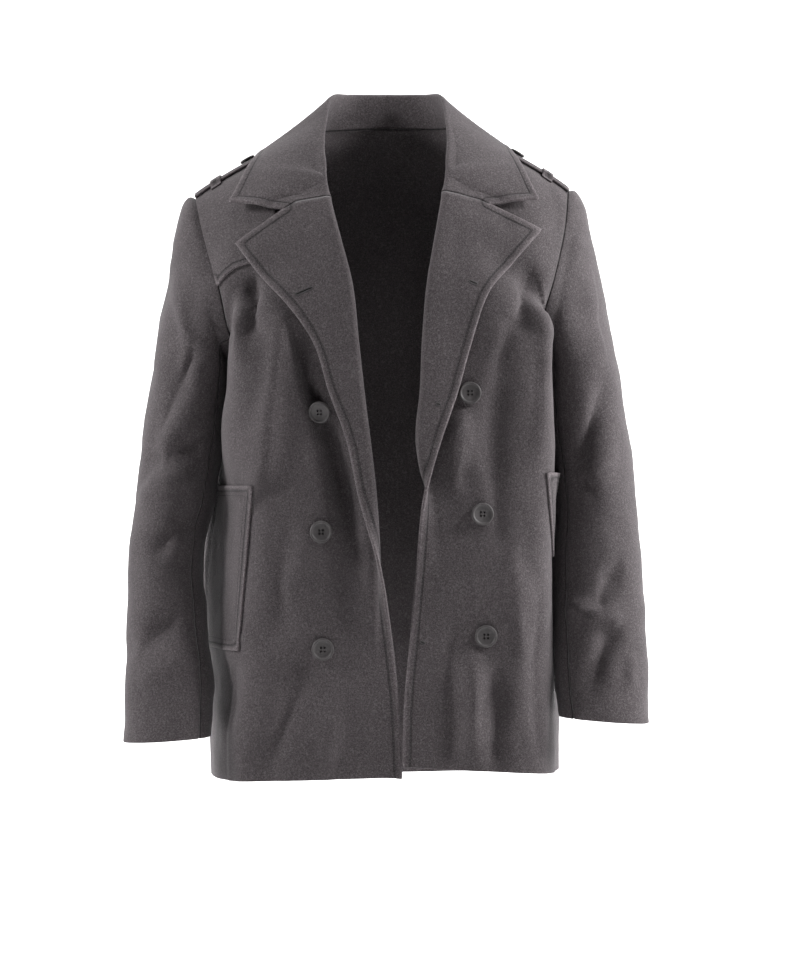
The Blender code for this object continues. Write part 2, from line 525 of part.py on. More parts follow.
# ---- collar -----------------------------------------------------------------
def collar_half(side, seam, kinds, crest):
    """Collar rows over one half of the neck seam, notch to centre back."""
    table = COLLAR_TABLE[side]
    names = list(table)
    keys = [kinds[name] for name in names]
    numbers = np.arange(len(seam))
    at = np.interp(numbers, keys, np.arange(len(names)))
    edge = through(side_points([table[name][1] for name in names], side), at)
    laid = kinds["roll"] - ROLL_COLUMNS
    first = names.index("throat")
    folds = np.vstack([crest, side_points([table[name][0] for name in names[first:]], side)])
    fold_at = np.interp(numbers, [laid] + keys[first:], np.arange(len(folds)))
    fold = through(folds, fold_at)
    rows = []
    for k, base in enumerate(seam):
        if k <= laid:
            line = corner(base, (base + edge[k]) / 2, edge[k], 1.0, CURVE_POINTS)
            stand = 0.0
        else:
            up = unit(fold[k] - base)
            down = unit(edge[k] - fold[k])
            stand = np.linalg.norm(fold[k] - base)
            trim = min(FOLD_TRIM, stand * FOLD_STAND_SHARE)
            turn = corner(fold[k] - up * trim, fold[k], fold[k] + down * trim, 1.0, TURN_POINTS)
            line = np.vstack([base, turn, edge[k]])
        length = np.linalg.norm(np.diff(line, axis=0), axis=1).sum()
        even = np.linspace(0, 1, COLLAR_ROWS + 1)
        share = stand / length
        fitted = np.concatenate([np.linspace(0, share, STAND_ROWS + 1)[:-1],
                                 np.linspace(share, 1, COLLAR_ROWS + 1 - STAND_ROWS)])
        settled = smoothstep(0.0, FULL_STAND, stand)
        rows.append(along(line, even + (fitted - even) * settled))
    return np.array(rows)


def keep_clear(grid, trees):
    """Lift the fall of the collar clear of the body, away from the body's heart."""
    heart = Vector(BODY_HEART)
    sides = (-NECK_HALF, NECK_HALF), (COLLAR_CLEAR["right"], COLLAR_CLEAR["left"])
    for spot in np.ndindex(grid.shape[:2]):
        ray = Vector(grid[spot]) - heart
        away = ray.normalized()
        hits = [tree.ray_cast(heart + away * REACH, -away, REACH) for tree in trees]
        heights = [(hit[0] - heart).length for hit in hits if hit[0] is not None]
        if heights and spot[1] > STAND_ROWS - 1:
            short = max(heights) + np.interp(grid[spot][0], *sides) - ray.length
            lift = COLLAR_SETTLE * math.log1p(math.exp(min(short / COLLAR_SETTLE, STEEPEST)))
            grid[spot] = np.array(heart + away * (ray.length + max(lift, short)))


# ---- folds, normals and walls -----------------------------------------------
def grid_normals(grid):
    """Normals of a grid, on the side from which its rows run up and columns right."""
    down_rows = np.gradient(grid, axis=0)
    across = np.gradient(grid, axis=1)
    return unit(np.cross(across, down_rows))


def share_normals(grids, normals):
    """Give points that two pieces share at a seam the same normal."""
    sums = {}
    keys = {name: [tuple(point) for point in np.round(grid.reshape(-1, 3), 5).tolist()]
            for name, grid in grids.items()}
    for name in grids:
        for key, normal in zip(keys[name], normals[name].reshape(-1, 3)):
            sums[key] = sums.get(key, 0) + normal
    return {name: unit(np.array([sums[key] for key in keys[name]])).reshape(grids[name].shape)
            for name in grids}


def fold_height(name, points):
    """Height of the folds of one piece at its points."""
    height = np.zeros(points.shape[:-1])
    for piece, start, end, half_width, rise in FOLDS:
        if piece != name:
            continue
        start = np.array(start)
        run = np.array(end) - start
        t = np.clip(((points - start) @ run) / (run @ run), 0, 1)
        away = np.linalg.norm(points - start - t[..., None] * run, axis=-1)
        height += rise * np.exp(-(away / half_width) ** 2)
    return height


def grid_piece(grid, normals, edges):
    """Piece of cloth made of one grid; edges are (edge, row or column beside it)."""
    rows, columns = grid.shape[:2]
    numbers = np.arange(rows * columns).reshape(rows, columns)
    return {"points": grid.reshape(-1, 3).copy(), "normals": normals.reshape(-1, 3),
            "faces": grid_triangles(rows, columns),
            "edges": [(numbers[edge], numbers[beside]) for edge, beside in edges]}


def part_seams(pieces):
    """Draw the pieces that meet at a seam apart by the seam gap."""
    inward = {}
    for name, piece in pieces.items():
        points = piece["points"]
        inward[name] = np.zeros_like(points)
        for edge, beside in piece["edges"]:
            run = np.gradient(points[edge], axis=0)
            into = unit(np.cross(piece["normals"][edge], run))
            toward = np.sum(into * (points[beside] - points[edge]))
            np.add.at(inward[name], edge, into * math.copysign(1.0, toward))
        inward[name] = unit(inward[name])
    met = {}
    keys = {name: [tuple(point) for point in np.round(piece["points"], 5).tolist()]
            for name, piece in pieces.items()}
    for name in pieces:
        for key, into in zip(keys[name], inward[name]):
            met[key] = met.get(key, []) + [into]
    for name, piece in pieces.items():
        for number, key in enumerate(keys[name]):
            others = len(met[key]) - 1
            if others:
                own = inward[name][number]
                away = own - (sum(met[key]) - own) / others
                piece["points"][number] += unit(away) * SEAM_GAP * SEAM_SHARE


def grid_triangles(rows, columns):
    faces = []
    for i in range(rows - 1):
        for j in range(columns - 1):
            a = i * columns + j
            faces.append((a, a + 1, a + columns + 1))
            faces.append((a, a + columns + 1, a + columns))
    return faces


def make_object(name, mesh, colour, roughness):
    """Object with its own plain material."""
    material = bpy.data.materials.new(name)
    material.use_nodes = True
    shader = material.node_tree.nodes["Principled BSDF"]
    shader.inputs["Base Color"].default_value = (*colour, 1.0)
    shader.inputs["Roughness"].default_value = roughness
    shader.inputs["Metallic"].default_value = 0.0
    mesh.materials.append(material)
    mesh.shade_smooth()
    mesh.set_sharp_from_angle(angle=math.radians(SHARP_ANGLE))
    thing = bpy.data.objects.new(name, mesh)
    bpy.context.collection.objects.link(thing)
    return thing


def closed_wall(name, points, normals, faces, low, high):
    """Wall between two offsets of a surface, closed round its open edges."""
    count = len(points)
    bottom = points + normals * low
    top = points + normals * high
    walls = [tuple(face) for face in faces]
    edges = {}
    for face in walls:
        for a, b in zip(face, face[1:] + face[:1]):
            edges[(a, b)] = edges.get((a, b), 0) + 1
    rim = [(a, b) for (a, b) in edges if (b, a) not in edges]
    solid = [tuple(v + count for v in face) for face in walls]
    solid += [face[::-1] for face in walls]
    order = points @ np.array(SKEW)
    for a, b in rim:
        if order[a] < order[b]:
            solid += [(a, b, b + count), (a, b + count, a + count)]
        else:
            solid += [(a, b, a + count), (b, b + count, a + count)]
    mesh = bpy.data.meshes.new(name)
    mesh.from_pydata(np.vstack([bottom, top]).tolist(), [], solid)
    bm = bmesh.new()
    bm.from_mesh(mesh)
    bmesh.ops.recalc_face_normals(bm, faces=bm.faces)
    bm.to_mesh(mesh)
    bm.free()
    return make_object(name, mesh, WOOL, WOOL_ROUGHNESS)


# ---- patches cut from a panel's own points ----------------------------------
def patch_mesh(grid, normals):
    """Editable copy of a panel's outer face that carries its normals."""
    rows, columns = grid.shape[:2]
    bm = bmesh.new()
    carried = bm.verts.layers.float_vector.new("normal")
    strip = bm.faces.layers.int.new("strip")
    outer = (grid + normals * CLOTH / 2).reshape(-1, 3)
    verts = [bm.verts.new(point) for point in outer.tolist()]
    for vert, normal in zip(verts, normals.reshape(-1, 3).tolist()):
        vert[carried] = Vector(normal)
    for number, face in enumerate(grid_triangles(rows, columns)):
        made = bm.faces.new([verts[v] for v in face])
        made[strip] = (number // 2) % (columns - 1)
    return bm


def cut(bm, faces, point, normal, keep_all=False):
    """Cut faces by a plane and drop what lies on its normal's side."""
    geometry = set(faces)
    for face in faces:
        geometry.update(face.edges)
        geometry.update(face.verts)
    bmesh.ops.bisect_plane(bm, geom=list(geometry), dist=1e-6, plane_co=point,
                           plane_no=normal, clear_outer=not keep_all)


def patch_wall(name, bm, low, thickness):
    """Thicken a cut patch, clear of the panel under it."""
    carried = bm.verts.layers.float_vector["normal"]
    bmesh.ops.remove_doubles(bm, verts=bm.verts, dist=WELD)
    bmesh.ops.dissolve_degenerate(bm, edges=bm.edges, dist=WELD)
    bmesh.ops.triangulate(bm, faces=bm.faces)
    bm.verts.index_update()
    points = np.array([vert.co[:] for vert in bm.verts])
    normals = unit(np.array([vert[carried][:] for vert in bm.verts]))
    faces = [tuple(vert.index for vert in face.verts) for face in bm.faces]
    bm.free()
    lift = np.array([low(point) for point in points])[:, None]
    return closed_wall(name, points, normals, faces, lift, lift + thickness)


def edge_height(line, out):
    """Height z of a falling line of (out, z) points at a distance out."""
    outs = [point[0] for point in line][::-1]
    heights = [point[1] for point in line][::-1]
    return float(np.interp(out, outs, heights))


def storm_flap(panel, normals):
    """Flap over the right chest, from the shoulder seam to its shaped edge."""
    bm = patch_mesh(panel, normals)
    columns = panel.shape[1]
    strip = bm.faces.layers.int["strip"]
    crossings = []
    for j in range(columns):
        column = panel[:, j]
        over = [p[2] - edge_height(FLAP_EDGE, -p[0]) for p in column]
        i = next(k for k in range(len(over) - 1, -1, -1) if over[k] < 0)
        t = over[i] / (over[i] - over[i + 1])
        crossings.append(column[i] + t * (column[i + 1] - column[i]))
    for j in range(columns - 1):
        run = crossings[j + 1] - crossings[j]
        normal = np.cross(run, (0.0, 1.0, 0.0))
        faces = [face for face in bm.faces if face[strip] == j]
        cut(bm, faces, crossings[j], normal, keep_all=True)
    below = []
    for face in bm.faces:
        middle = face.calc_center_median()
        j = face[strip]
        a, b = crossings[j], crossings[j + 1]
        line = a[2] + (middle.x - a[0]) * (b[2] - a[2]) / (b[0] - a[0])
        if middle.z < line or middle.z < FLAP_BOTTOM:
            below.append(face)
    bmesh.ops.delete(bm, geom=below, context="FACES")
    cut(bm, list(bm.faces), (-FLAP_INNER, 0, 0), (1, 0, 0))
    cut(bm, list(bm.faces), (0, FLAP_TOP, 0), (0, 1, 0))
    return patch_wall("storm_flap", bm, lambda point: PATCH_GAP, PATCH_CLOTH)


def pocket_low(side, point):
    """Height of a pocket's under side, open at the top of its entry."""
    entry_y, entry_lean = POCKET_ENTRY_TOP[side]
    down = POCKET_TOP[side] - point[2]
    forward = entry_y + entry_lean * down - point[1]
    off = (forward / GAPE_REACH[0]) ** 2 + (down / GAPE_REACH[1]) ** 2
    return PATCH_GAP + POCKET_GAPE[side] * math.exp(-off)


def pocket(side, panel, normals):
    """Patch pocket round the flank, with a slanted entry near the side seam."""
    sign = SIDE[side]
    bm = patch_mesh(panel, normals)
    top, bottom = POCKET_TOP[side], POCKET_BOTTOM[side]
    front_out, front_lean = POCKET_FRONT[side]
    entry_y, entry_lean = POCKET_ENTRY_TOP[side]
    cut(bm, list(bm.faces), (0, 0, top), (0, 0, 1))
    cut(bm, list(bm.faces), (0, 0, bottom), (0, 0, -1))
    cut(bm, list(bm.faces), (sign * front_out, 0, top), (-sign, 0, -front_lean))
    cut(bm, list(bm.faces), (0, entry_y, top), (0, 1, entry_lean))
    cut(bm, list(bm.faces), (0, POCKET_BACK[side], 0), (0, 1, 0))
    return patch_wall("pocket_" + side, bm, lambda point: pocket_low(side, point), PATCH_CLOTH)


# ---- epaulettes -------------------------------------------------------------
def shoulder_top(front, back_half):
    """Front and back rows either side of the shoulder seam, joined in one grid."""
    return np.concatenate([front[-SHOULDER_ROWS:], back_half[-2:-1 - SHOULDER_ROWS:-1]])


def flap_under(side, y):
    """Height that the storm flap adds under an epaulette."""
    if side == "left":
        return 0.0
    return (PATCH_GAP + PATCH_CLOTH) * (1 - float(smoothstep(*FLAP_END, y)))


def across(point):
    """Way from a strap's middle line, as a share of its half width."""
    return abs(point[1] - STRAP_CENTRE_Y) / STRAP_HALF_WIDTH


def strap_low(side, point):
    """Height of an epaulette's under side over the shoulder."""
    return PATCH_GAP + flap_under(side, point[1])


def loop_low(side, point):
    """Height of a carrier loop's under side over the shoulder."""
    down = float(np.interp(across(point), *LOOP_DROP))
    return strap_low(side, point) + (STRAP_CLOTH + PATCH_GAP) * (1 - down)


def score(bm, axis, places):
    """Add edges across a patch where it bends, square to an axis."""
    normal = tuple(float(k == axis) for k in range(3))
    for place in places:
        point = tuple(place if k == axis else 0.0 for k in range(3))
        cut(bm, list(bm.faces), point, normal, keep_all=True)


def epaulette(side, top, normals):
    """Strap from the armhole seam along the shoulder, its point under the collar."""
    sign = SIDE[side]
    drawn = top.copy()
    drawn[:, 0] += unit(top[:, 1] - top[:, 0]) * STRAP_SEAM
    bm = patch_mesh(drawn, normals)
    centre, half, tip = STRAP_CENTRE_Y, STRAP_HALF_WIDTH, STRAP_TIP[side]
    cut(bm, list(bm.faces), (0, centre - half, 0), (0, -1, 0))
    cut(bm, list(bm.faces), (0, centre + half, 0), (0, 1, 0))
    for way in (-1, 1):
        cut(bm, list(bm.faces), (sign * tip, centre, 0), (-sign, way * STRAP_POINT, 0))
    if side == "right":
        score(bm, 1, FLAP_END)
    return patch_wall("epaulette_" + side, bm, lambda point: strap_low(side, point), STRAP_CLOTH)


def carrier_loop(side, top, normals):
    """Narrow band over the epaulette, sewn down in front and behind."""
    sign, centre, half = SIDE[side], STRAP_CENTRE_Y, STRAP_HALF_WIDTH
    bm = patch_mesh(top, normals)
    reach = LOOP_REACH * half
    for way in (-1, 1):
        cut(bm, list(bm.faces), (0, centre + way * reach, 0), (0, way, 0))
        cut(bm, list(bm.faces), (sign * LOOP_AT[side] + way * LOOP_WIDTH / 2, 0, 0), (way, 0, 0))
        score(bm, 1, [centre + way * half * share for share in LOOP_DROP[0]])
    if side == "right":
        score(bm, 1, FLAP_END)
    name = "epaulette_loop_" + side
    return patch_wall(name, bm, lambda point: loop_low(side, point), LOOP_CLOTH)


def epaulette_button(side, top, normals):
    """Button near the epaulette's point, square to the slope of the shoulder."""
    x = SIDE[side] * STRAP_BUTTON_AT[side]
    tree = surface_tree(top + normals * CLOTH / 2)
    spots = []
    for reach in (-STRAP_BUTTON_RADIUS, 0.0, STRAP_BUTTON_RADIUS):
        down = Vector((x + reach, STRAP_CENTRE_Y, REACH)), Vector((0, 0, -1))
        spots.append(tree.ray_cast(*down)[0])
    run = (spots[2] - spots[0]).normalized()
    facing = Vector((-run.z, 0.0, run.x))
    lift = PATCH_GAP + flap_under(side, STRAP_CENTRE_Y) + STRAP_CLOTH + BUTTON_STAND
    sewn_button("epaulette_button_" + side, STRAP_BUTTON_RADIUS, spots[1] + facing * lift, facing)


# ---- buttons ----------------------------------------------------------------
def button_mesh(name, radius):
    """Dished round button with a rim and four thread holes, its back at z = 0."""
    bm = bmesh.new()
    height = BUTTON_HEIGHT * radius / BUTTON_RADIUS
    rings = []
    for share, rise in BUTTON_PROFILE:
        ring = []
        for k in range(BUTTON_SIDES):
            turn = 2 * math.pi * k / BUTTON_SIDES
            ring.append(bm.verts.new((radius * share * math.cos(turn),
                                      radius * share * math.sin(turn), height * rise)))
        rings.append(ring)
    for low, high in zip(rings, rings[1:]):
        for k in range(BUTTON_SIDES):
            n = (k + 1) % BUTTON_SIDES
            bm.faces.new((low[k], low[n], high[n], high[k]))
    bm.faces.new(rings[0][::-1])
    bm.faces.new(rings[-1])
    mesh = bpy.data.meshes.new(name)
    bm.to_mesh(mesh)
    bm.free()
    return mesh


def hole_cutter(name, radius):
    """Four small prisms that pierce a button."""
    bm = bmesh.new()
    scale = radius / BUTTON_RADIUS
    for k in range(4):
        turn = math.pi / 4 + k * math.pi / 2
        middle = Vector((math.cos(turn), math.sin(turn), 0)) * HOLE_OFFSET * scale
        made = bmesh.ops.create_cone(bm, cap_ends=True, segments=HOLE_SIDES,
                                     radius1=HOLE_RADIUS * scale, radius2=HOLE_RADIUS * scale,
                                     depth=4 * BUTTON_HEIGHT)
        bmesh.ops.translate(bm, verts=made["verts"], vec=middle)
    mesh = bpy.data.meshes.new(name + "_holes")
    bm.to_mesh(mesh)
    bm.free()
    cutter = bpy.data.objects.new(name + "_holes", mesh)
    bpy.context.collection.objects.link(cutter)
    cutter.hide_render = True
    cutter.display_type = "WIRE"
    return cutter


def sewn_button(name, radius, place, facing):
    """Button set on the cloth at a place, facing along a direction."""
    thing = make_object(name, button_mesh(name, radius), HORN, HORN_ROUGHNESS)
    cutter = hole_cutter(name, radius)
    cutter.parent = thing
    drill = thing.modifiers.new("thread holes", "BOOLEAN")
    drill.operation = "DIFFERENCE"
    drill.object = cutter
    thing.location = place
    thing.rotation_mode = "QUATERNION"
    thing.rotation_quaternion = Vector(facing).to_track_quat("Z", "Y")
    return thing


def front_button(name, panel, normals):
    """Front button on its panel, set off by its thread shank."""
    x, z = BUTTONS[name]
    tree = surface_tree(panel + normals * CLOTH / 2)
    spots = []
    for turn in np.linspace(0, 2 * math.pi, 9)[:-1]:
        around = (x + BUTTON_RADIUS * math.cos(turn), z + BUTTON_RADIUS * math.sin(turn))
        spots.append(Vector((around[0], depth_at(tree, *around, 0.0), around[1])))
    middle = sum(spots, Vector()) / len(spots)
    facing = (spots[0] - spots[4]).cross(spots[2] - spots[6]).normalized()
    if facing.y > 0:
        facing = -facing
    spots.append(Vector((x, depth_at(tree, x, z, 0.0), z)))
    proud = max((spot - middle).dot(facing) for spot in spots)
    return sewn_button(name, BUTTON_RADIUS, middle + facing * (proud + BUTTON_STAND), facing)


# ---- the coat ---------------------------------------------------------------
def clear_scene():
    for thing in list(bpy.data.objects):
        bpy.data.objects.remove(thing, do_unlink=True)


def calm_edges(shape):
    """One inside a grid and zero at its side columns and its top rows."""
    calm = np.ones(shape)
    calm[:, 0] = 0.0
    calm[:, -1] = 0.0
    calm[-2:] = 0.0
    return calm


def folded(name, grid, flip):
    """Grid with its worn folds raised and sunk along its own normals."""
    rise = fold_height(name, grid) * calm_edges(grid.shape[:2])
    return grid + grid_normals(grid) * flip * rise[..., None]


def tube_normals(tube):
    """Normals of a ringed tube whose first column is also its last, facing out."""
    down = np.gradient(tube, axis=0)
    closed = np.concatenate([tube[:, -2:-1], tube, tube[:, 1:2]], axis=1)
    around = closed[:, 2:] - closed[:, :-2]
    normals = unit(np.cross(around, down))
    middles = tube[:, :-1].mean(axis=1, keepdims=True)
    facing = np.sum(normals * (tube - middles), axis=-1).mean()
    return normals * math.copysign(1.0, facing)


def collar_grid(back, panels, bands):
    """Collar over the whole neck seam, right notch to left notch."""
    notch = NOTCH_COLUMN
    top = back[-1]
    middle = (len(top) - 1) // 2
    neck = {"right": top[FRONT_COLUMNS + 1:middle + 1],
            "left": top[middle:len(top) - 1 - FRONT_COLUMNS][::-1]}
    halves = {}
    for side in SIDE:
        gorge = bands[side][GORGE_ROW, notch::-1]
        neckline = panels[side][GORGE_ROW:, -1]
        seam = np.vstack([gorge, neckline, neck[side]])
        roll = len(gorge)
        shoulder = roll + len(neckline) - 1
        last = len(seam) - 1
        kinds = {"notch": 0, "gorge": roll / 2, "roll": roll, "throat": roll + 1,
                 "front": roll + 2, "side": roll + 4, "shoulder": shoulder,
                 "nape": (shoulder + last) / 2, "back": last}
        crest = bands[side][GORGE_ROW, ROLL_COLUMNS // 2]
        halves[side] = collar_half(side, seam, kinds, crest)
    return np.concatenate([halves["right"], halves["left"][-2::-1]], axis=0)


def front_piece(panel, band, panel_normals, band_normals):
    """Front and its lapel as one piece of cloth."""
    rows, columns = panel.shape[:2]
    numbers = np.arange(rows * columns).reshape(rows, columns)
    beyond = rows * columns + np.arange(band.shape[0] * band.shape[1]).reshape(band.shape[:2])
    low = np.concatenate([numbers[:GORGE_ROW + 1, -1:], beyond], axis=1)
    faces = grid_triangles(rows, columns)
    faces += [tuple(int(low.flat[v]) for v in face) for face in grid_triangles(*low.shape)]
    gorge = low[-1, NOTCH_COLUMN + 1:0:-1]
    neck = np.concatenate([gorge, numbers[GORGE_ROW:, -1]])
    beside_neck = np.concatenate([low[-2, NOTCH_COLUMN + 1:0:-1], numbers[GORGE_ROW:, -2]])
    return {"points": np.vstack([panel.reshape(-1, 3), band.reshape(-1, 3)]),
            "normals": np.vstack([panel_normals.reshape(-1, 3), band_normals.reshape(-1, 3)]),
            "faces": faces,
            "edges": [(numbers[:, 0], numbers[:, 1]), (numbers[-1], numbers[-2]),
                      (neck, beside_neck)]}


def sleeve_pieces(side, tube, normals):
    """Upper and under sleeve, parted along two seams."""
    last = tube.shape[1] - 1
    span = UNDER_SLEEVE_SPAN
    under = list(range(last - span, last + 1)) + list(range(1, span + 1))
    upper = list(range(span, last - span + 1))
    first, final, top = np.s_[:, 0], np.s_[:, -1], np.s_[0]
    edges = [(first, np.s_[:, 1]), (final, np.s_[:, -2]), (top, np.s_[1])]
    return {name + side: grid_piece(tube[:, columns], normals[:, columns], edges)
            for name, columns in (("upper_sleeve_", upper), ("under_sleeve_", under))}


def main():
    clear_scene()
    panels = {side: folded("front_" + side, front_panel(side), OUTWARD[side]) for side in SIDE}
    back = folded("back", back_panel(), OUTWARD["back"])
    bands = {side: lapel_band(side, panels[side]) for side in SIDE}
    armhole_back = {"right": back[UNDERARM_ROW:, 0], "left": back[UNDERARM_ROW:, -1]}
    tubes = {}
    for side in SIDE:
        tube = sleeve_tube(side, panels[side][UNDERARM_ROW:, 0], armhole_back[side])
        rise = fold_height("sleeve_" + side, tube)
        rise[0] = 0.0
        tubes[side] = tube + tube_normals(tube) * rise[..., None]
    collar = collar_grid(back, panels, bands)
    trees = [surface_tree(panels["right"]), surface_tree(panels["left"][:, ::-1]),
             surface_tree(back[:, ::-1])]
    keep_clear(collar, trees)

    grids = {"back": back, "collar": collar}
    normals = {"back": grid_normals(back) * OUTWARD["back"], "collar": grid_normals(collar)}
    for side in SIDE:
        low = np.concatenate([panels[side][:GORGE_ROW + 1], bands[side]], axis=1)
        low_normals = grid_normals(low) * OUTWARD[side]
        panel_normals = grid_normals(panels[side]) * OUTWARD[side]
        panel_normals[:GORGE_ROW + 1, -1] = low_normals[:, FRONT_COLUMNS]
        grids.update({"front_" + side: panels[side], "lapel_" + side: bands[side],
                      "sleeve_" + side: tubes[side]})
        normals.update({"front_" + side: panel_normals,
                        "lapel_" + side: low_normals[:, FRONT_COLUMNS + 1:],
                        "sleeve_" + side: tube_normals(tubes[side])})
    normals = share_normals(grids, normals)

    pieces = {
        "back": grid_piece(back, normals["back"],
                           [(np.s_[:, 0], np.s_[:, 1]), (np.s_[:, -1], np.s_[:, -2]),
                            (np.s_[-1], np.s_[-2])]),
        "collar": grid_piece(collar, normals["collar"], [(np.s_[:, 0], np.s_[:, 1])]),
    }
    for side in SIDE:
        pieces["front_" + side] = front_piece(panels[side], bands[side],
                                              normals["front_" + side], normals["lapel_" + side])
        pieces.update(sleeve_pieces(side, tubes[side], normals["sleeve_" + side]))
    part_seams(pieces)
    for name, piece in pieces.items():
        closed_wall(name, piece["points"], piece["normals"], piece["faces"],
                    -CLOTH / 2, CLOTH / 2)

    halves = {"right": (back, normals["back"]),
              "left": (back[:, ::-1], normals["back"][:, ::-1])}
    for side in SIDE:
        panel, panel_normals = panels[side], normals["front_" + side]
        pocket(side, panel, panel_normals)
        top, top_normals = [shoulder_top(front, half[:, :FRONT_COLUMNS + 1]) for front, half
                            in zip((panel, panel_normals), halves[side])]
        epaulette(side, top, top_normals)
        carrier_loop(side, top, top_normals)
        epaulette_button(side, top, top_normals)
    storm_flap(panels["right"], normals["front_right"])
    for name in BUTTONS:
        side = "right" if "right" in name else "left"
        front_button(name, panels[side], normals["front_" + side])


if __name__ == "__main__":
    main()
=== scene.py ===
"""Looks of a double-breasted pea coat in charcoal melton, worn open.

Every cloth piece is a finer copy of the solid that it replaces: the same rows and
columns of points, with the small folds, rolled edges, topstitching, buttonholes and
thread that the solids leave out. Metres, +Z up, the front faces -Y.
"""

import functools
import math

import bmesh
import bpy
import numpy as np
from bpy.props import FloatProperty, FloatVectorProperty, PointerProperty
from mathutils import Matrix, Vector, noise
from mathutils.bvhtree import BVHTree
from mathutils.kdtree import KDTree


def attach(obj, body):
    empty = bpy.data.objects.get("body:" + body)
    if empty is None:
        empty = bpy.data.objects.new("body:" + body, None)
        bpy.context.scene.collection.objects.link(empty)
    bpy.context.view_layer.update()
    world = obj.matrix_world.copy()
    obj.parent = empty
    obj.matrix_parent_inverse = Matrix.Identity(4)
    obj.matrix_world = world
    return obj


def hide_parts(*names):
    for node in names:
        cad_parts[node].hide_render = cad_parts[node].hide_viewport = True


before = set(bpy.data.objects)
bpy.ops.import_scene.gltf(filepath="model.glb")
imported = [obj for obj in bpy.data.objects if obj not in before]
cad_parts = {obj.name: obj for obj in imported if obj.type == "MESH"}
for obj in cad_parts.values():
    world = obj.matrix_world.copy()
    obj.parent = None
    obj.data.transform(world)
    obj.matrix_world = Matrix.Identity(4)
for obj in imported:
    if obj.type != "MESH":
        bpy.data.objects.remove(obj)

bl_info = {
    "name": "Pea Coat",
    "version": (1, 0, 0),
    "blender": (4, 5, 0),
    "location": "3D View > Sidebar > Coat",
    "description": "Builds the cloth, thread and buttons of a worn pea coat",
    "category": "Object",
}

# ---- cloth and seams ----
CLOTH = 0.0024  # body and sleeves
PATCH_CLOTH = 0.0020  # pockets and storm flap
STRAP_CLOTH = 0.0036  # epaulettes, two layers sewn together
SEAM_GAP = 0.0001
SEAM_SHARE = 0.65  # share of the gap that each piece draws back
PATCH_GAP = 0.0005
WELD = 0.00005  # cut points closer than this become one
SPOT_DIGITS = 5  # points that agree to this many digits are one spot
REACH = 0.5  # longer than any way from a point to the coat

# ---- grid densities ----
DETAIL = 6  # how many times finer than the solids
ROWS_PER_STATION = 2 * DETAIL  # body grid rows between two rows of the tables
FRONT_COLUMNS = 8 * DETAIL  # side seam to roll line
NECK_COLUMNS = 4 * DETAIL  # back, shoulder-neck point to centre back
ROLL_COLUMNS = 3 * DETAIL
LAPEL_COLUMNS = 6 * DETAIL
COLLAR_ROWS = 9 * DETAIL
SLEEVE_ROWS = 13 * DETAIL
DENSE = 120  # points of a row before it is spaced out
CURVE_POINTS = 60  # points of a lapel or collar line before it is spaced out
TURN_POINTS = 24  # points round a roll or fold

UNDERARM = 7  # row of the tables where the side seam ends
GORGE = 10  # row where the lapel ends and the collar starts
SHOULDER = 13  # last row, the shoulder seam
NECK_SHARE = 0.66  # share of a back row between side and shoulder-neck line

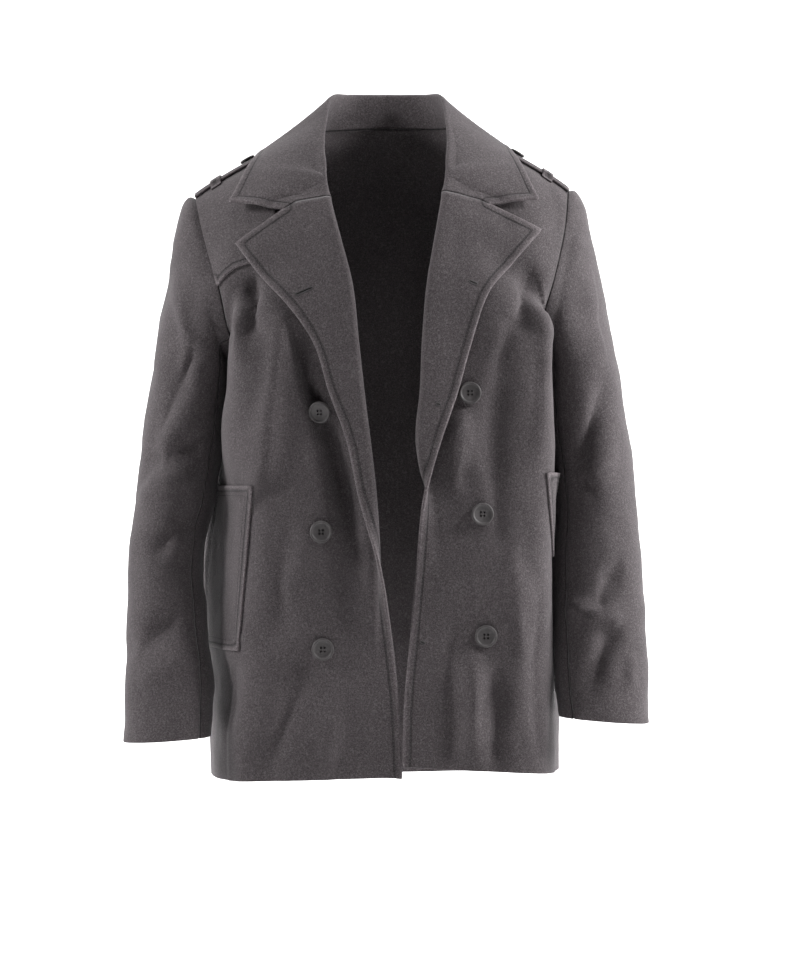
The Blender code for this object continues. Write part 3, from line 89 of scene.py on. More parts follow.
# ---- body ----
# One row per station from the hem up to the shoulder seam:
# side seam or front armhole (out, y, z), corner that the row turns (out, y, z),
# roll line and neckline (out, y, z), fullness of the corner.
FRONT_TABLE = {"right": [
    (0.2200, 0.030, -0.806, 0.1942, -0.150, -0.800, 0.0065, -0.143, -0.7945, 4.0),
    (0.2235, 0.030, -0.710, 0.1888, -0.150, -0.705, 0.0115, -0.145, -0.7000, 4.0),
    (0.2260, 0.030, -0.620, 0.1835, -0.149, -0.618, 0.0150, -0.145, -0.6150, 3.6),
    (0.2265, 0.030, -0.540, 0.1767, -0.147, -0.540, 0.0160, -0.144, -0.5400, 3.2),
    (0.2125, 0.022, -0.460, 0.1800, -0.145, -0.460, 0.0175, -0.142, -0.4600, 2.6),
    (0.1970, 0.012, -0.390, 0.2085, -0.143, -0.390, 0.0245, -0.140, -0.3900, 2.6),
    (0.1905, 0.002, -0.330, 0.2032, -0.140, -0.330, 0.0320, -0.139, -0.3300, 3.0),
    (0.1850, -0.010, -0.285, 0.2020, -0.139, -0.280, 0.0385, -0.137, -0.2700, 3.0),
    (0.1865, -0.055, -0.272, 0.1995, -0.134, -0.257, 0.0450, -0.134, -0.2050, 2.4),
    (0.1936, -0.083, -0.2473, 0.182, -0.122, -0.205, 0.0585, -0.125, -0.1500, 1.0),
    (0.2031, -0.088, -0.2012, 0.172, -0.116, -0.150, 0.0730, -0.106, -0.0950, 1.0),
    (0.2206, -0.065, -0.1430, 0.160, -0.095, -0.090, 0.0820, -0.062, -0.0380, 1.0),
    (0.2318, -0.036, -0.1000, 0.188, -0.048, -0.069, 0.0845, -0.031, -0.0130, 1.0),
    (0.2360, 0.000, -0.0875, 0.2105, 0.000, -0.066, 0.0850, 0.000, -0.0010, 1.0),
], "left": [
    (0.2170, 0.030, -0.800, 0.2000, -0.150, -0.790, 0.0540, -0.146, -0.7830, 4.6),
    (0.2155, 0.030, -0.710, 0.2000, -0.150, -0.702, 0.0560, -0.148, -0.7000, 4.4),
    (0.2045, 0.022, -0.620, 0.2035, -0.149, -0.618, 0.0620, -0.148, -0.6150, 4.2),
    (0.1990, 0.014, -0.540, 0.2053, -0.147, -0.540, 0.0670, -0.146, -0.5400, 4.0),
    (0.1985, 0.010, -0.460, 0.2085, -0.145, -0.460, 0.0600, -0.144, -0.4600, 4.0),
    (0.1945, 0.006, -0.390, 0.2133, -0.143, -0.390, 0.0450, -0.141, -0.3900, 3.4),
    (0.1885, 0.000, -0.330, 0.2150, -0.140, -0.330, 0.0480, -0.139, -0.3300, 3.4),
    (0.1830, -0.010, -0.277, 0.2140, -0.139, -0.274, 0.0507, -0.137, -0.2680, 3.2),
    (0.1850, -0.055, -0.262, 0.2130, -0.134, -0.250, 0.0555, -0.134, -0.2030, 2.6),
    (0.1925, -0.083, -0.2330, 0.1840, -0.122, -0.196, 0.0650, -0.125, -0.1450, 1.0),
    (0.2050, -0.086, -0.1920, 0.1740, -0.116, -0.142, 0.0750, -0.106, -0.0890, 1.0),
    (0.2190, -0.063, -0.1330, 0.1600, -0.095, -0.082, 0.0820, -0.062, -0.0320, 1.0),
    (0.2245, -0.035, -0.0905, 0.1820, -0.047, -0.060, 0.0840, -0.031, -0.0070, 1.0),
    (0.2265, 0.000, -0.0775, 0.2030, 0.000, -0.056, 0.0850, 0.000, 0.0050, 1.0),
]}
# Roll and lapel beyond the roll line, same stations up to the gorge:
# roll angle in degrees, roll radius, front edge (out, z), how far the edge
# stands off the front, and how far the row bends up at the notch.
LAPEL_TABLE = {"right": [
    (0, 0.010, -0.0187, -0.7950, 0.000, 0.000),
    (2, 0.010, -0.0138, -0.7000, 0.000, 0.000),
    (35, 0.012, -0.0045, -0.6150, 0.007, 0.000),
    (115, 0.010, 0.0075, -0.5400, 0.020, 0.000),
    (165, 0.0065, 0.0300, -0.4600, 0.013, 0.000),
    (180, 0.0055, 0.0450, -0.3900, 0.010, 0.000),
    (180, 0.0055, 0.0660, -0.3320, 0.009, 0.000),
    (180, 0.0055, 0.0840, -0.2740, 0.008, 0.000),
    (180, 0.0050, 0.1123, -0.2312, 0.008, 0.000),
    (180, 0.0050, 0.1490, -0.1910, 0.009, 0.0030),
    (180, 0.0050, 0.1804, -0.1505, 0.009, 0.0130),
], "left": [
    (0, 0.010, 0.0223, -0.7810, 0.000, 0.000),
    (0, 0.010, 0.0248, -0.7000, 0.000, 0.000),
    (0, 0.010, 0.0325, -0.6150, 0.001, 0.000),
    (0, 0.012, 0.0390, -0.5400, 0.003, 0.000),
    (25, 0.012, 0.0470, -0.4600, 0.012, 0.000),
    (150, 0.0075, 0.0640, -0.3950, 0.013, 0.000),
    (180, 0.0055, 0.0850, -0.3330, 0.009, 0.000),
    (180, 0.0055, 0.1000, -0.2790, 0.007, 0.000),
    (180, 0.0050, 0.1210, -0.2150, 0.006, 0.000),
    (180, 0.0050, 0.1502, -0.1770, 0.005, 0.002),
    (180, 0.0050, 0.1880, -0.1330, 0.005, 0.0060),
]}
ROLL_SHARE = 0.22  # least share of a lapel row given to the roll's columns
NOTCH_SHARE = 0.34  # of the lapel's top edge, roll line to point
STAND_OFF_TILT = (120, 165)  # roll angles between which the lapel settles on the front

# Back: corner (out, y, z) and centre back (y, z) of each row, fullness.
BACK_TABLE = [
    (0.200, 0.135, -0.812, 0.142, -0.8150, 1.1),
    (0.226, 0.128, -0.712, 0.134, -0.7150, 1.5),
    (0.238, 0.120, -0.620, 0.124, -0.6200, 1.8),
    (0.248, 0.114, -0.540, 0.114, -0.5400, 2.0),
    (0.244, 0.110, -0.460, 0.108, -0.4600, 2.2),
    (0.228, 0.110, -0.390, 0.108, -0.3900, 2.0),
    (0.206, 0.113, -0.330, 0.113, -0.3300, 1.4),
    (0.187, 0.116, -0.282, 0.119, -0.2750, 1.0),
    (0.186, 0.116, -0.262, 0.124, -0.2320, 1.0),
    (0.183, 0.113, -0.222, 0.125, -0.1720, 1.0),
    (0.174, 0.107, -0.163, 0.118, -0.1100, 1.0),
    (0.155, 0.086, -0.088, 0.100, -0.0500, 1.0),
    (0.178, 0.044, -0.062, 0.086, -0.0150, 1.0),
]
NECK_CORNER = (0.078, 0.066, 0.006)
NECK_BACK = (0.066, 0.010)
# Back armhole (out, y, z) above the underarm and below the shoulder point.
BACK_ARMHOLE = {
    "right": [(0.186, 0.036, -0.276), (0.190, 0.070, -0.250), (0.202, 0.084, -0.200),
              (0.219, 0.062, -0.140), (0.231, 0.034, -0.0985)],
    "left": [(0.184, 0.036, -0.267), (0.189, 0.070, -0.240), (0.200, 0.084, -0.190),
             (0.217, 0.062, -0.130), (0.224, 0.034, -0.0890)],
}

# ---- sleeves ----
# One ring per row from the sleeve head to the cuff: outer line (out, z),
# inner line (out, z), middle depth y, half depth.
SLEEVE_TABLE = {"right": [
    (0.2475, -0.0875, 0.1970, -0.2905, 0.001, 0.0900),
    (0.2590, -0.1150, 0.1980, -0.3040, 0.002, 0.0880),
    (0.2685, -0.1700, 0.1985, -0.3240, 0.003, 0.0840),
    (0.2800, -0.2350, 0.1998, -0.3520, 0.003, 0.0790),
    (0.2915, -0.3050, 0.2022, -0.3850, 0.000, 0.0730),
    (0.3025, -0.3850, 0.2105, -0.4350, -0.007, 0.0670),
    (0.3105, -0.4600, 0.2195, -0.4850, -0.020, 0.0620),
    (0.3150, -0.5300, 0.2275, -0.5400, -0.036, 0.0570),
    (0.3180, -0.6000, 0.2215, -0.6020, -0.054, 0.0530),
    (0.3180, -0.6600, 0.2141, -0.6600, -0.070, 0.0500),
    (0.3178, -0.7120, 0.2121, -0.7080, -0.083, 0.0480),
    (0.3174, -0.7550, 0.2117, -0.7480, -0.093, 0.0460),
], "left": [
    (0.2385, -0.0775, 0.1975, -0.2830, 0.001, 0.0890),
    (0.2510, -0.1050, 0.2000, -0.2970, 0.002, 0.0870),
    (0.2620, -0.1620, 0.2005, -0.3170, 0.003, 0.0830),
    (0.2760, -0.2280, 0.1992, -0.3440, 0.003, 0.0780),
    (0.2900, -0.3000, 0.2010, -0.3780, 0.000, 0.0720),
    (0.3005, -0.3780, 0.2075, -0.4250, -0.007, 0.0660),
    (0.3085, -0.4500, 0.2115, -0.4750, -0.020, 0.0610),
    (0.3130, -0.5150, 0.2068, -0.5250, -0.036, 0.0560),
    (0.3160, -0.5800, 0.2055, -0.5820, -0.054, 0.0520),
    (0.3160, -0.6350, 0.2062, -0.6350, -0.070, 0.0490),
    (0.3202, -0.6850, 0.2080, -0.6820, -0.083, 0.0480),
    (0.3200, -0.7320, 0.2136, -0.7240, -0.092, 0.0460),
]}
ARMHOLE_SHAPE_ROWS = 6  # rows of the table that still take after the armhole
UNDER_SLEEVE_SPAN = 3 * DETAIL  # armhole grid steps from the underarm to a sleeve seam

# ---- collar ----
# Stations from the notch to centre back: fold line (out, y, z) and outer edge
# (out, y, z). "gorge" stations have no stand, so their fold is the seam itself.
COLLAR_TABLE = {"right": {
    "notch": (None, (0.1878, -0.093, -0.0985)),
    "gorge": (None, (0.1770, -0.078, -0.0820)),
    "roll": (None, (0.1665, -0.060, -0.0650)),
    "throat": ((0.0705, -0.096, -0.0600), (0.1625, -0.050, -0.0570)),
    "front": ((0.0735, -0.066, -0.0230), (0.1580, -0.038, -0.0490)),
    "side": ((0.0715, -0.032, 0.0130), (0.1520, -0.013, -0.0370)),
    "shoulder": ((0.0660, 0.004, 0.0450), (0.1470, 0.012, -0.0300)),
    "nape": ((0.0440, 0.050, 0.0540), (0.0950, 0.080, -0.0180)),
    "back": ((0.0000, 0.068, 0.0570), (0.0000, 0.106, -0.0180)),
}, "left": {
    "notch": (None, (0.1835, -0.093, -0.0955)),
    "gorge": (None, (0.1730, -0.078, -0.0780)),
    "roll": (None, (0.1625, -0.060, -0.0600)),
    "throat": ((0.0715, -0.096, -0.0540), (0.1585, -0.050, -0.0520)),
    "front": ((0.0735, -0.066, -0.0190), (0.1540, -0.038, -0.0440)),
    "side": ((0.0715, -0.032, 0.0160), (0.1480, -0.013, -0.0320)),
    "shoulder": ((0.0660, 0.004, 0.0460), (0.1430, 0.012, -0.0250)),
    "nape": ((0.0440, 0.050, 0.0540), (0.0940, 0.080, -0.0170)),
    "back": ((0.0000, 0.068, 0.0570), (0.0000, 0.106, -0.0180)),
}}
FOLD_TRIM = 0.008  # way from the fold line to where the fold's arc starts
FOLD_STAND_SHARE = 0.6  # most of a low stand that the arc may take
STAND_ROWS = 3 * DETAIL  # collar grid steps between the seam and the fold
FULL_STAND = 0.030  # stand height from which the rows keep to that
COLLAR_CLEAR = {"right": 0.0102, "left": 0.0078}  # from its middle to the body's middle
COLLAR_SETTLE = 0.006  # how softly the fall comes to rest on the shoulder
SOFTEN_ROUNDS = 2  # how often the fall is evened out, for each step of detail
SOFTEN_SHARE = 0.5  # how far it moves towards its neighbours each time
STEEPEST = 30.0  # above this many settling lengths the lift is the full way
BODY_HEART = (0.0, 0.02, -0.25)  # the collar is lifted away from this point
NECK_HALF = 0.06  # out, where each side's full clearance starts
LIFT_ROUNDS = 14  # how often the lift is evened out, for each step of detail

# ---- folds of the worn cloth, in millimetres ----
MILLI = 1000
# Main folds: half width, height (out is plus), start (x, y, z), end (x, y, z).
FOLDS = {"front_right": [
    (16, 5, (-124, -140, -250), (-150, -147, -470)),
    (16, -5, (-98, -140, -270), (-60, -145, -420)),
    (14, -4.5, (-52, -145, -440), (-32, -147, -640)),
    (14, -5, (-165, -120, -200), (-160, -135, -260)),
    (20, -4.5, (-94, -147, -660), (-142, -147, -790)),
], "front_left": [
    (16, -4, (175, -120, -190), (166, -135, -250)),
    (12, 4, (184, -120, -180), (192, -140, -260)),
    (14, 5, (90, -145, -370), (86, -146, -410)),
    (16, -4, (131, -145, -340), (130, -146, -420)),
    (14, -4, (74, -147, -630), (74, -147, -760)),
    (14, 3.5, (103, -147, -660), (106, -147, -740)),
    (14, -4, (131, -147, -680), (131, -147, -760)),
], "back": [
    (22, 5, (-60, 120, -620), (-85, 150, -815)),
    (22, 5, (70, 120, -600), (82, 150, -815)),
    (18, -5, (-165, 100, -300), (-110, 110, -420)),
    (18, -5, (165, 100, -300), (115, 110, -430)),
], "sleeve_right": [
    (18, -5, (-262, -70, -300), (-300, -60, -410)),
    (14, -5, (-215, -75, -400), (-300, -60, -425)),
    (14, 4, (-215, -85, -430), (-300, -70, -452)),
    (16, -4.5, (-268, -100, -510), (-300, -80, -530)),
    (16, -4.5, (-262, -110, -615), (-305, -90, -640)),
    (16, -5, (-300, 40, -400), (-230, 45, -450)),
], "sleeve_left": [
    (16, -5.5, (270, -75, -330), (222, -80, -420)),
    (12, -4.5, (222, -85, -430), (248, -85, -450)),
    (16, -4.5, (275, -100, -560), (262, -105, -580)),
    (13, 4, (222, -105, -590), (275, -110, -605)),
    (14, -5, (268, -115, -620), (248, -120, -690)),
    (16, -5, (298, 40, -390), (230, 45, -445)),
]}

# ---- patches ----
# Storm flap's lower edge on the right front (out, z), armhole first.
FLAP_EDGE = [(0.260, -0.2550), (0.2031, -0.1990), (0.1930, -0.1870), (0.1834, -0.1800),
             (0.1640, -0.1735), (0.1200, -0.1700)]
FLAP_BOTTOM = -0.24  # everything below this height is cut off
FLAP_MARGIN = 0.06  # of the panel below that height, cut away later
FLAP_SEWN = 0.006  # rim nearer than this to the shaped edge is topstitched
FLAP_INNER = 0.134  # out, where the flap ends under the lapel
FLAP_TOP = -0.0030  # depth y where it ends below the shoulder seam
FLAP_END = (-0.001, 0.008)  # depths y between which an epaulette steps off it
POCKET_MARGIN = 0.02  # of the panel above and below a pocket, cut away later
POCKET_TOP = {"right": -0.4455, "left": -0.4300}
POCKET_BOTTOM = {"right": -0.6430, "left": -0.6300}
POCKET_FRONT = {"right": (0.1600, 0.085), "left": (0.1940, 0.085)}  # out at the top, lean
POCKET_ENTRY_TOP = {"right": (-0.010, 0.35), "left": (-0.050, 0.35)}  # depth y, lean
POCKET_BACK = {"right": 0.014, "left": 0.003}  # depth y where it ends below the entry
POCKET_GAPE = {"right": 0.0020, "left": 0.0080}  # how far the entry's top stands open
GAPE_REACH = (0.028, 0.050)  # forward of the entry, down from the top

# ---- epaulettes ----
SHOULDER_ROWS = 4 * DETAIL + 1  # rows of a panel that an epaulette can lie on
STRAP_SEAM = 0.0012  # way from the armhole seam to the strap's end
STRAP_TIP = {"right": 0.1380, "left": 0.1330}
STRAP_HALF_WIDTH = 0.0215
STRAP_CENTRE_Y = -0.001
STRAP_POINT = 0.55  # slope of the two edges at its point
LOOP_AT = {"right": 0.2085, "left": 0.1990}
LOOP_WIDTH = 0.011
LOOP_CLOTH = 0.0018
LOOP_REACH = 1.38  # share of the strap's half width where the loop ends
LOOP_DROP = ((1.04, 1.22), (0.0, 1.0))  # share of the half width, way down to the shoulder
STRAP_BUTTON_AT = {"right": 0.1690, "left": 0.1610}

# ---- buttons ----
BUTTON_RADIUS = 0.0135
STRAP_BUTTON_RADIUS = 0.0100
# Share of the radius, share of the height, from the back round the rim to the dish.
BUTTON_PROFILE = [(0.80, 0.00), (0.97, 0.20), (1.00, 0.45), (0.99, 0.75), (0.95, 0.94),
                  (0.90, 1.00), (0.84, 0.97), (0.79, 0.86), (0.75, 0.70), (0.70, 0.62)]
BUTTON_HEIGHT = 0.0042
HOLE_RADIUS = 0.0014
HOLE_OFFSET = 0.0030
BUTTON_STAND = 0.0005
BUTTONS = {
    "button_right_1": (-0.0774, -0.3537),
    "button_right_2": (-0.0774, -0.5002),
    "button_right_3": (-0.0750, -0.6408),
    "button_left_1": (0.1016, -0.3333),
    "button_left_2": (0.1160, -0.4786),
    "button_left_3": (0.1208, -0.6252),
}

SIDE = {"right": -1.0, "left": 1.0}
OUTWARD = {"right": 1.0, "left": -1.0, "back": -1.0}  # turns a grid's normals outward

# ---- edges, seams and stitching ----
FULL_EDGE = 0.009  # way in from a rolled edge where the cloth is single again
RIM_TURNS = (0.9, 0.35, -0.35, -0.9)  # angles of the points round a free edge
FAR = 0.05  # distances to edges and seams are kept up to this
# Rings of a stitch: share of its length, share of the radius, lift in radii.
STITCH_RINGS = ((0.0, 0.4, -0.9), (0.16, 0.95, 0.15), (0.5, 1.0, 0.45), (0.84, 0.95, 0.15),
                (1.0, 0.4, -0.9))
THREAD_SIDES = 6
THREAD_RADIUS = 0.00032
STITCH_PITCH = 0.0042
STITCH_SHARE = 0.78  # of the pitch that shows as thread
SHORTEST_LINE = 4  # points of a line of stitching
CHAIN_STEP = 0.0015  # between the spots of an edge from which a distance is taken
CUT_TOLERANCE = 1e-6
STITCH_IN = 0.0072  # topstitching, in from the edge
HEM_STITCH_IN = 0.0060  # row along the hem, up from it
HEM_STITCH_REACH = 0.095  # as far as this from the front edge

SEAM_SINK = 0.0007  # how far the cloth sinks into a seam
SEAM_SINK_WIDTH = 0.004

PATCH_EDGE = 0.0032  # rolled edge of a pocket or flap
PATCH_STITCH_IN = 0.0050
PATCH_ROW = (PATCH_STITCH_IN,)
POCKET_ROWS = (PATCH_STITCH_IN, PATCH_STITCH_IN + 0.006)

# ---- buttonholes and buttons ----
HOLE_SLIT = 0.0012
HOLE_BAR = 0.0018
HOLE_STEP = 0.00062  # one thread of the bar to the next
BAR_LIFTS = (THREAD_RADIUS * 0.7, THREAD_RADIUS * 0.2)  # at the slit and at the outside
SLIT_SPINE = (0.1, 0.9, 9)  # first and last share of the slit's length, points between
SLIT_LIFT = 0.00012  # of the slit's sheet of painted shade off the cloth, and its thickness
SLIT_CLOTH = 0.0001
BUTTON_SIDES = 48
HOLE_SIDES = 12
BUTTON_SHARP = 40
BUTTON_FLOOR = 0.08  # share of the height where the thread lies, deep in the holes
BUTTON_STRANDS = 2
STRAND_SPREAD = 0.6  # share of a hole's radius
STRAND_RADIUS = THREAD_RADIUS * 0.8
# Ends (x, z) of each buttonhole, on the cloth that faces the front.
BUTTONHOLES = {
    "right": [((-0.1090, -0.2155), (-0.0868, -0.2060))],
    "left": [((0.1110, -0.2025), (0.1000, -0.1985)), ((0.0665, -0.3475), (0.0600, -0.3470)),
             ((0.0410, -0.6315), (0.0480, -0.6340))],
}

# ---- stage ----
# Lights: place, what they are turned to, size.
LIGHTS = {
    "key": ((-2.9, -0.65, 1.3), (0.0, 0.0, -0.4), 0.7),
    "fill": ((2.8, -0.85, 1.5), (0.0, 0.0, -0.4), 0.7),
    "top": ((0.1, -0.9, 2.5), (0.0, 0.0, -0.2), 0.8),
    "right_rim": ((-3.0, -0.1, 0.6), (0.0, 0.0, -0.4), 1.0),
    "left_rim": ((3.0, 0.0, 0.6), (0.0, 0.0, -0.4), 1.0),
    "paper_light": ((0.0, 2.2, 2.6), (0.0, 5.6, -0.8), 5.0),
}
SENSOR = 36.0
FOCAL_PIXELS = 2880
FRAME_HEIGHT = 977
CAMERA_X = 0.0175
CAMERA_Z = -0.448
PAPER_HALF = 8.0  # half the width of floor and backdrop
PAPER_FRONT = -6.0  # depths y of the floor's front edge and of the backdrop
PAPER_BACK = 5.6
PAPER_HEIGHT = 5.0
PAPER_BEND = 1.4  # radius of the curve between the two
BEND_STEPS = 12

# ---- curves ----
def through(values, at, last_slope=None):
    """Smooth curve through the rows of values, read at row numbers."""
    values = np.asarray(values, float)
    at = np.atleast_1d(np.asarray(at, float))
    slopes = np.gradient(values, axis=0)
    if last_slope is not None:
        slopes[-1] = last_slope
    low = np.clip(np.floor(at).astype(int), 0, len(values) - 2)
    t = (at - low)[:, None]
    a, b, da, db = values[low], values[low + 1], slopes[low], slopes[low + 1]
    return (a * (1 + 2 * t) * (1 - t) ** 2 + da * t * (1 - t) ** 2
            + b * t ** 2 * (3 - 2 * t) + db * t ** 2 * (t - 1))


def corner(start, turn, end, fullness, count=DENSE):
    """Arc from start to end that turns the corner; more fullness fills the corner."""
    t = np.linspace(0, 1, count)[:, None]
    shares = (1 - t) ** 2, 2 * fullness * t * (1 - t), t ** 2
    return (shares[0] * start + shares[1] * turn + shares[2] * end) / sum(shares)


def step_lengths(points):
    """Length of each step of a polyline."""
    return np.linalg.norm(np.diff(points, axis=0), axis=1)


def run_lengths(points):
    """Way along a polyline to each of its points."""
    return np.concatenate([[0], np.cumsum(step_lengths(points))])


def along(points, shares):
    """Points at the given shares of a polyline's length."""
    length = run_lengths(points)
    at = np.asarray(shares) * length[-1]
    return np.column_stack([np.interp(at, length, points[:, k]) for k in range(3)])


def spaced(share, first, second):
    """Even shares in two runs: steps up to one share, and steps from there on."""
    return np.concatenate([np.linspace(0, share, first + 1)[:-1],
                           np.linspace(share, 1, second + 1)])


def unit(vectors):
    return vectors / np.maximum(np.linalg.norm(vectors, axis=-1, keepdims=True), 1e-12)


def smoothstep(low, high, value):
    t = np.clip((value - low) / (high - low), 0, 1)
    return t * t * (3 - 2 * t)


def level(points):
    """Slope of the last step with only its depth kept, for a rounded shoulder."""
    return (points[-1] - points[-2]) * (0.0, 1.0, 0.0)


def side_points(rows, side):
    """Turn (out, y, z) rows into points on one side of the coat."""
    points = np.array(rows, float)
    points[..., 0] *= SIDE[side]
    return points


def numbered(shape, first=0):
    """Numbers of a grid's points, row by row."""
    return first + np.arange(shape[0] * shape[1]).reshape(shape[:2])


def grid_faces(numbers):
    """Four-sided faces between the points of a numbered grid."""
    a, b = numbers[:-1, :-1].ravel(), numbers[:-1, 1:].ravel()
    c, d = numbers[1:, 1:].ravel(), numbers[1:, :-1].ravel()
    return np.column_stack([a, b, c, d])


def surface_tree(grid):
    """Search tree over a grid of points."""
    faces = [half for a, b, c, d in grid_faces(numbered(grid.shape)).tolist()
             for half in ((a, b, c), (a, c, d))]
    return BVHTree.FromPolygons([Vector(point) for point in grid.reshape(-1, 3)], faces)


def point_tree(points):
    """Search tree over single points."""
    tree = KDTree(len(points))
    for number, place in enumerate(points):
        tree.insert(place, number)
    tree.balance()
    return tree


def depth_at(tree, x, z, missing):
    """Depth y of the first surface met from the front, or the given value."""
    hit = tree.ray_cast(Vector((x, -REACH, z)), Vector((0, 1, 0)))
    return hit[0].y if hit[0] is not None else missing


# ---- body grids ----
STATIONS = np.linspace(0, SHOULDER, SHOULDER * ROWS_PER_STATION + 1)
UNDERARM_ROW = UNDERARM * ROWS_PER_STATION
GORGE_ROW = GORGE * ROWS_PER_STATION
NOTCH_COLUMN = ROLL_COLUMNS - 1 + round(NOTCH_SHARE * LAPEL_COLUMNS)
# Edges of a grid, each with the row or column beside it.
FIRST_COLUMN, LAST_COLUMN = (np.s_[:, 0], np.s_[:, 1]), (np.s_[:, -1], np.s_[:, -2])
FIRST_ROW, LAST_ROW = (np.s_[0], np.s_[1]), (np.s_[-1], np.s_[-2])


def seam_column(lower, upper):
    """Side seam up to the underarm, then the armhole, as one column of points."""
    below = STATIONS[STATIONS <= UNDERARM]
    above = STATIONS[STATIONS > UNDERARM]
    armhole = through(upper, above - UNDERARM, level(upper))
    return np.vstack([through(lower, below), armhole])


def turned_row(start, turn, end, fullness):
    """Row of a front that turns a corner, with a column right on the corner."""
    line = corner(start, turn, end, fullness, 2 * DENSE + 1)
    shares = np.linspace(0, 1, FRONT_COLUMNS // 2 + 1)
    return np.vstack([along(line[:DENSE + 1], shares), along(line[DENSE:], shares[1:])])


def front_panel(side):
    """Front from the side seam to the roll line, hem to shoulder seam."""
    table = np.array(FRONT_TABLE[side])
    sides = side_points(table[:, 0:3], side)
    seam = seam_column(sides[:UNDERARM + 1], sides[UNDERARM:])
    turns, rolls = side_points(table[:, 3:6], side), side_points(table[:, 6:9], side)
    turn = through(turns, STATIONS, level(turns))
    roll = through(rolls, STATIONS, level(rolls))
    fullness = through(table[:, 9:10], STATIONS)
    return np.array([turned_row(*ends) for ends in zip(seam, turn, roll, fullness)])


def back_half_rows(side):
    """Back rows from one side seam to centre back."""
    front = side_points(np.array(FRONT_TABLE[side])[:, 0:3], side)
    shoulder_row = np.array(FRONT_TABLE[side][SHOULDER])
    armhole = np.vstack([front[UNDERARM:UNDERARM + 1],
                         side_points(BACK_ARMHOLE[side], side), front[SHOULDER:]])
    seam = seam_column(front[:UNDERARM + 1], armhole)
    table = np.array(BACK_TABLE)
    shoulder = turned_row(front[SHOULDER], side_points(shoulder_row[3:6], side),
                          side_points(shoulder_row[6:9], side), shoulder_row[9])
    neck_back = np.array((0.0,) + NECK_BACK)
    neck = corner(shoulder[-1], side_points(NECK_CORNER, side), neck_back, 1.0)
    outer = np.linspace(0, 1, FRONT_COLUMNS + 1)
    inner = np.linspace(0, 1, NECK_COLUMNS + 1)[1:]
    top_row = np.vstack([shoulder, along(neck, inner)])
    shares = np.concatenate([outer * NECK_SHARE, NECK_SHARE + inner * (1 - NECK_SHARE)])
    table_rows = []
    for number, row in enumerate(table):
        start = front[number] if number <= UNDERARM else armhole[number - UNDERARM]
        turn = side_points(row[0:3], side)
        end = np.array((0.0, row[3], row[4]))
        table_rows.append(along(corner(start, turn, end, row[5]), shares))
    table_rows.append(top_row)
    stack = np.array(table_rows)
    slope = stack[-1] - stack[-2]
    slope[:, 0::2] *= np.concatenate([outer * 0.0, inner])[:, None]
    grid = through(stack.reshape(len(stack), -1), STATIONS, slope.reshape(-1))
    grid = grid.reshape(len(STATIONS), -1, 3)
    drawn = 1 - smoothstep(0, 1.5 * DETAIL, np.arange(grid.shape[1]))
    grid += drawn[None, :, None] * (seam - grid[:, 0])[:, None]
    grid[:, -1, 0] = 0.0
    return grid


def back_panel():
    """Back in one piece, right side seam to left side seam."""
    right = back_half_rows("right")
    left = back_half_rows("left")
    middle = (right[:, -1:] + left[:, -1:]) / 2
    return np.concatenate([right[:, :-1], middle, left[:, -2::-1]], axis=1)


def lapel_band(side, panel):
    """Roll and lapel, one row of points from the roll line to the front edge."""
    sign = SIDE[side]
    stations = STATIONS[STATIONS <= GORGE]
    table = through(np.array(LAPEL_TABLE[side]), stations)
    tree = surface_tree(panel)
    rows = []
    for i in range(len(stations)):
        angle, radius, edge_out, edge_z, lift, notch = table[i]
        angle = math.radians(min(max(angle, 0.0), 180.0))
        start = panel[i, -1]
        inward = unit(start - panel[i, -2])
        inward[2] = 0.0
        inward = unit(inward)
        outward = np.array((inward[1], -inward[0], 0.0)) * (-sign)
        turns = np.linspace(0, angle, TURN_POINTS)[:, None]
        arc = start + radius * (np.sin(turns) * inward + (1 - np.cos(turns)) * outward)
        heading = math.cos(angle) * inward + math.sin(angle) * outward
        edge = np.array((sign * edge_out, 0.0, edge_z))
        edge[1] = depth_at(tree, edge[0], edge[2], start[1]) - lift
        t = np.linspace(0, 1, CURVE_POINTS)[:, None]
        reach = np.linalg.norm(edge - arc[-1])
        free = ((1 + 2 * t) * (1 - t) ** 2 * arc[-1] + t * (1 - t) ** 2 * reach * heading
                + t ** 2 * (3 - 2 * t) * edge + t ** 2 * (t - 1) * (edge - arc[-1]))
        laid = arc[-1] + t * (edge - arc[-1])
        bend = np.minimum(t / NOTCH_SHARE, (1 - t) / (1 - NOTCH_SHARE))
        laid[:, 2:] += notch * bend
        height = 2 * radius + (lift - 2 * radius) * t[:, 0]
        for k in range(len(t)):
            laid[k, 1] = depth_at(tree, laid[k, 0], laid[k, 2], start[1]) - height[k]
        settled = smoothstep(*STAND_OFF_TILT, math.degrees(angle))
        sheet = free + (laid - free) * settled
        line = np.vstack([arc[:-1], sheet])
        arc_share = max(radius * angle / step_lengths(line).sum(), ROLL_SHARE)
        rows.append(along(line, spaced(arc_share, ROLL_COLUMNS, LAPEL_COLUMNS)[1:]))
    return np.array(rows)


